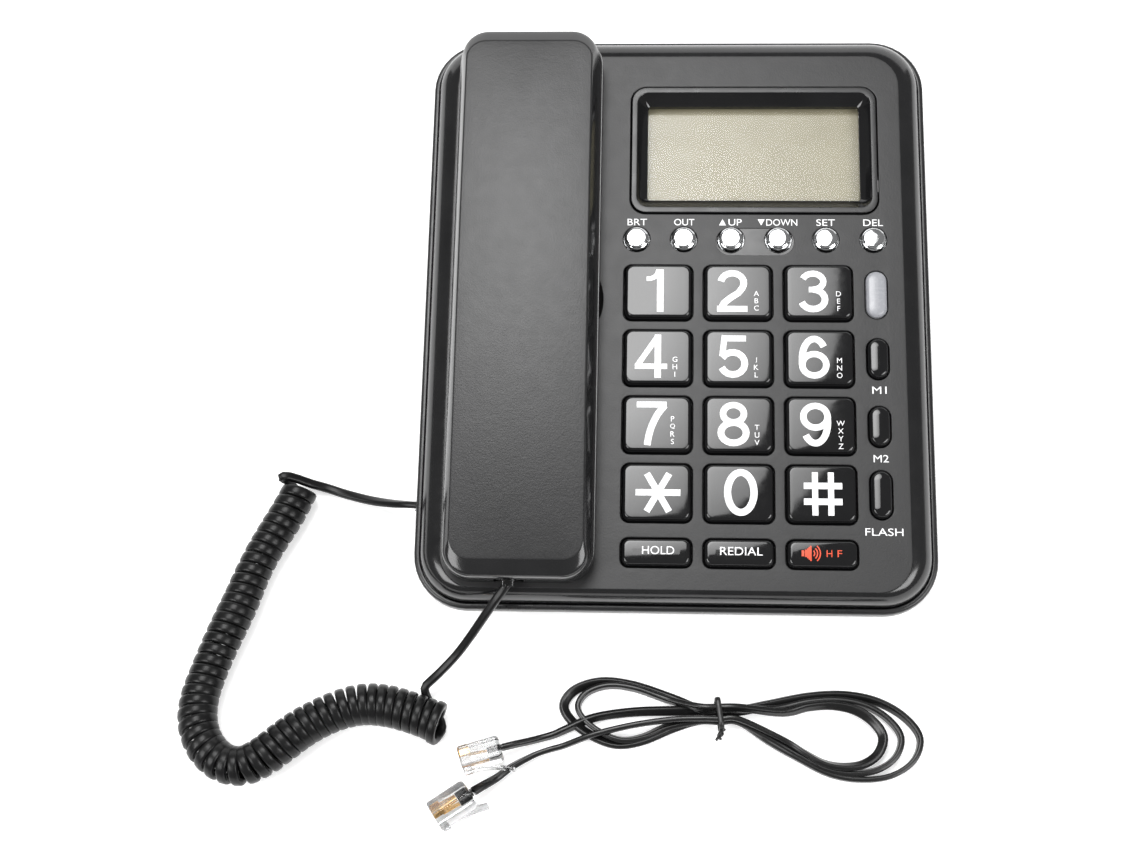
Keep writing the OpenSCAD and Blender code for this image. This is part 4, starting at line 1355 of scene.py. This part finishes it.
def handset_ring(mesh, values):
    """Ring round the handset with values as in HANDSET_PROFILE."""
    side, end, radius, level = values
    loop = rounded_loop(HANDSET_WIDTH - 2 * side, HANDSET_LENGTH - 2 * end, radius,
                        (HANDSET.x, HANDSET.y), 10, 16)
    return add_ring(mesh, loop, level)


def crown(x, y):
    """Level of the handset's back before it is arched."""
    across = (x - HANDSET.x) / (HANDSET_WIDTH / 2 - BACK_EDGE[0])
    along = (y - HANDSET.y) / (HANDSET_LENGTH / 2 - BACK_EDGE[1])
    return BACK_LEVEL + CROWN * (1 - across ** 2) * (1 - along ** 6)


def handset_shell():
    """Outer shell: gloss sides that round over to a grained, slightly crowned back."""
    mesh = bmesh.new()
    inner = [handset_ring(mesh, (2.2, 2.0, 7.0, 8.4)), handset_ring(mesh, (0.9, 0.6, 8.6, 8.1))]
    sides = [handset_ring(mesh, values) for values in smooth_route(HANDSET_PROFILE, 2)]
    loft(mesh, inner + sides, 1)
    back = []
    for step in range(BACK_STEPS + 1):
        share = step / BACK_STEPS
        back.append(handset_ring(mesh, (BACK_EDGE[0] + 19.45 * share, BACK_EDGE[1] + 20 * share,
                                        5.8 - 5.77 * share, crown)))
    loft(mesh, [sides[-1]] + back, 0)
    bmesh.ops.remove_doubles(mesh, verts=back[-1], dist=0.2)
    for vertex in mesh.verts:
        share = max(0.0, (vertex.co.z - 12) / 6)
        along = (vertex.co.y - HANDSET.y - ARCH_TOP) / (HANDSET_LENGTH / 2)
        vertex.co.z += share * (ARCH_RISE - ARCH * along ** 2)
    under = handset_ring(mesh, (2.4, 2.4, 6.8, 13.0))
    loft(mesh, [inner[0], under], 1, cap_end=True)
    shell = finish_piece("handset_back", mesh, "handset",
                         [HANDSET_PLASTIC, HANDSET_EDGE])
    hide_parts("handset_outer_shell")


handset_shell()

# ---- CAD nodes that stay as they are ----


def dress(node, material, bevel):
    """Gives a CAD node its material, clean faces and small rounded edges."""
    piece = NODES[node]
    piece.data.materials.clear()
    piece.data.materials.append(material)
    weld = piece.modifiers.new("Weld", "WELD")
    weld.merge_threshold = 0.00001
    if bevel:
        flatten = piece.modifiers.new("Flatten", "DECIMATE")
        flatten.decimate_type = "DISSOLVE"
        flatten.angle_limit = math.radians(3)
        edge = piece.modifiers.new("Edges", "BEVEL")
        edge.width = bevel * MM
        edge.segments = 3
        edge.limit_method = "ANGLE"
        edge.angle_limit = math.radians(35)
        edge.harden_normals = True
    even = piece.modifiers.new("Even normals", "WEIGHTED_NORMAL")
    even.keep_sharp = True


# Node, material and bevel in millimetres
CAD_LOOKS = [("display_window", WINDOW_CLEAR, 0), ("lcd_panel", LCD_PANEL, 0), ("main_board", BOARD_GREEN, 0),
             ("keypad_board", BOARD_GREEN, 0), ("keypad_membrane", MEMBRANE, 0),
             ("hook_switch", INNER_PLASTIC, 0.4), ("handset_jack", INNER_PLASTIC, 0.2),
             ("line_jack", INNER_PLASTIC, 0.2), ("loudspeaker", SPEAKER_METAL, 0), ("feet", FOOT_RUBBER, 0.5),
             ("case_screws", STEEL, 0.3), ("batteries", CELL_WRAP, 0.3), ("battery_contacts", STEEL, 0.1),
             ("battery_door", RIM_PLASTIC, 0.25), ("handset_inner_shell", SHOULDER_PLASTIC, 0.6),
             ("earpiece", SPEAKER_METAL, 0), ("microphone", STEEL, 0), ("handset_weight", STEEL, 0.3),
             ("handset_screws", STEEL, 0.2), ("handset_socket", INNER_PLASTIC, 0)]
for look in CAD_LOOKS:
    dress(*look)


def socket_wires():
    """Four sprung gold wires that slope across the mouth of the line socket."""
    low, high = box_mm("line_jack")
    mesh = bmesh.new()
    for i in range(4):
        x = (low.x + high.x) / 2 + (i - 1.5) * 1.1
        wire = [Vector((x, high.y - 1.2, low.z + 3.0)), Vector((x, high.y - 3.0, low.z + 3.2)),
                Vector((x, low.y + 3.0, low.z + 7.2)), Vector((x, low.y + 2.2, low.z + 7.2))]
        sweep(mesh, wire, [Vector((1, 0, 0))] * 4, arc((0, 0), (0.25, 0.25), 0, 300, 5))
    finish_piece("line_socket_wires", mesh, "base", [GOLD], TABLE, 60)


socket_wires()
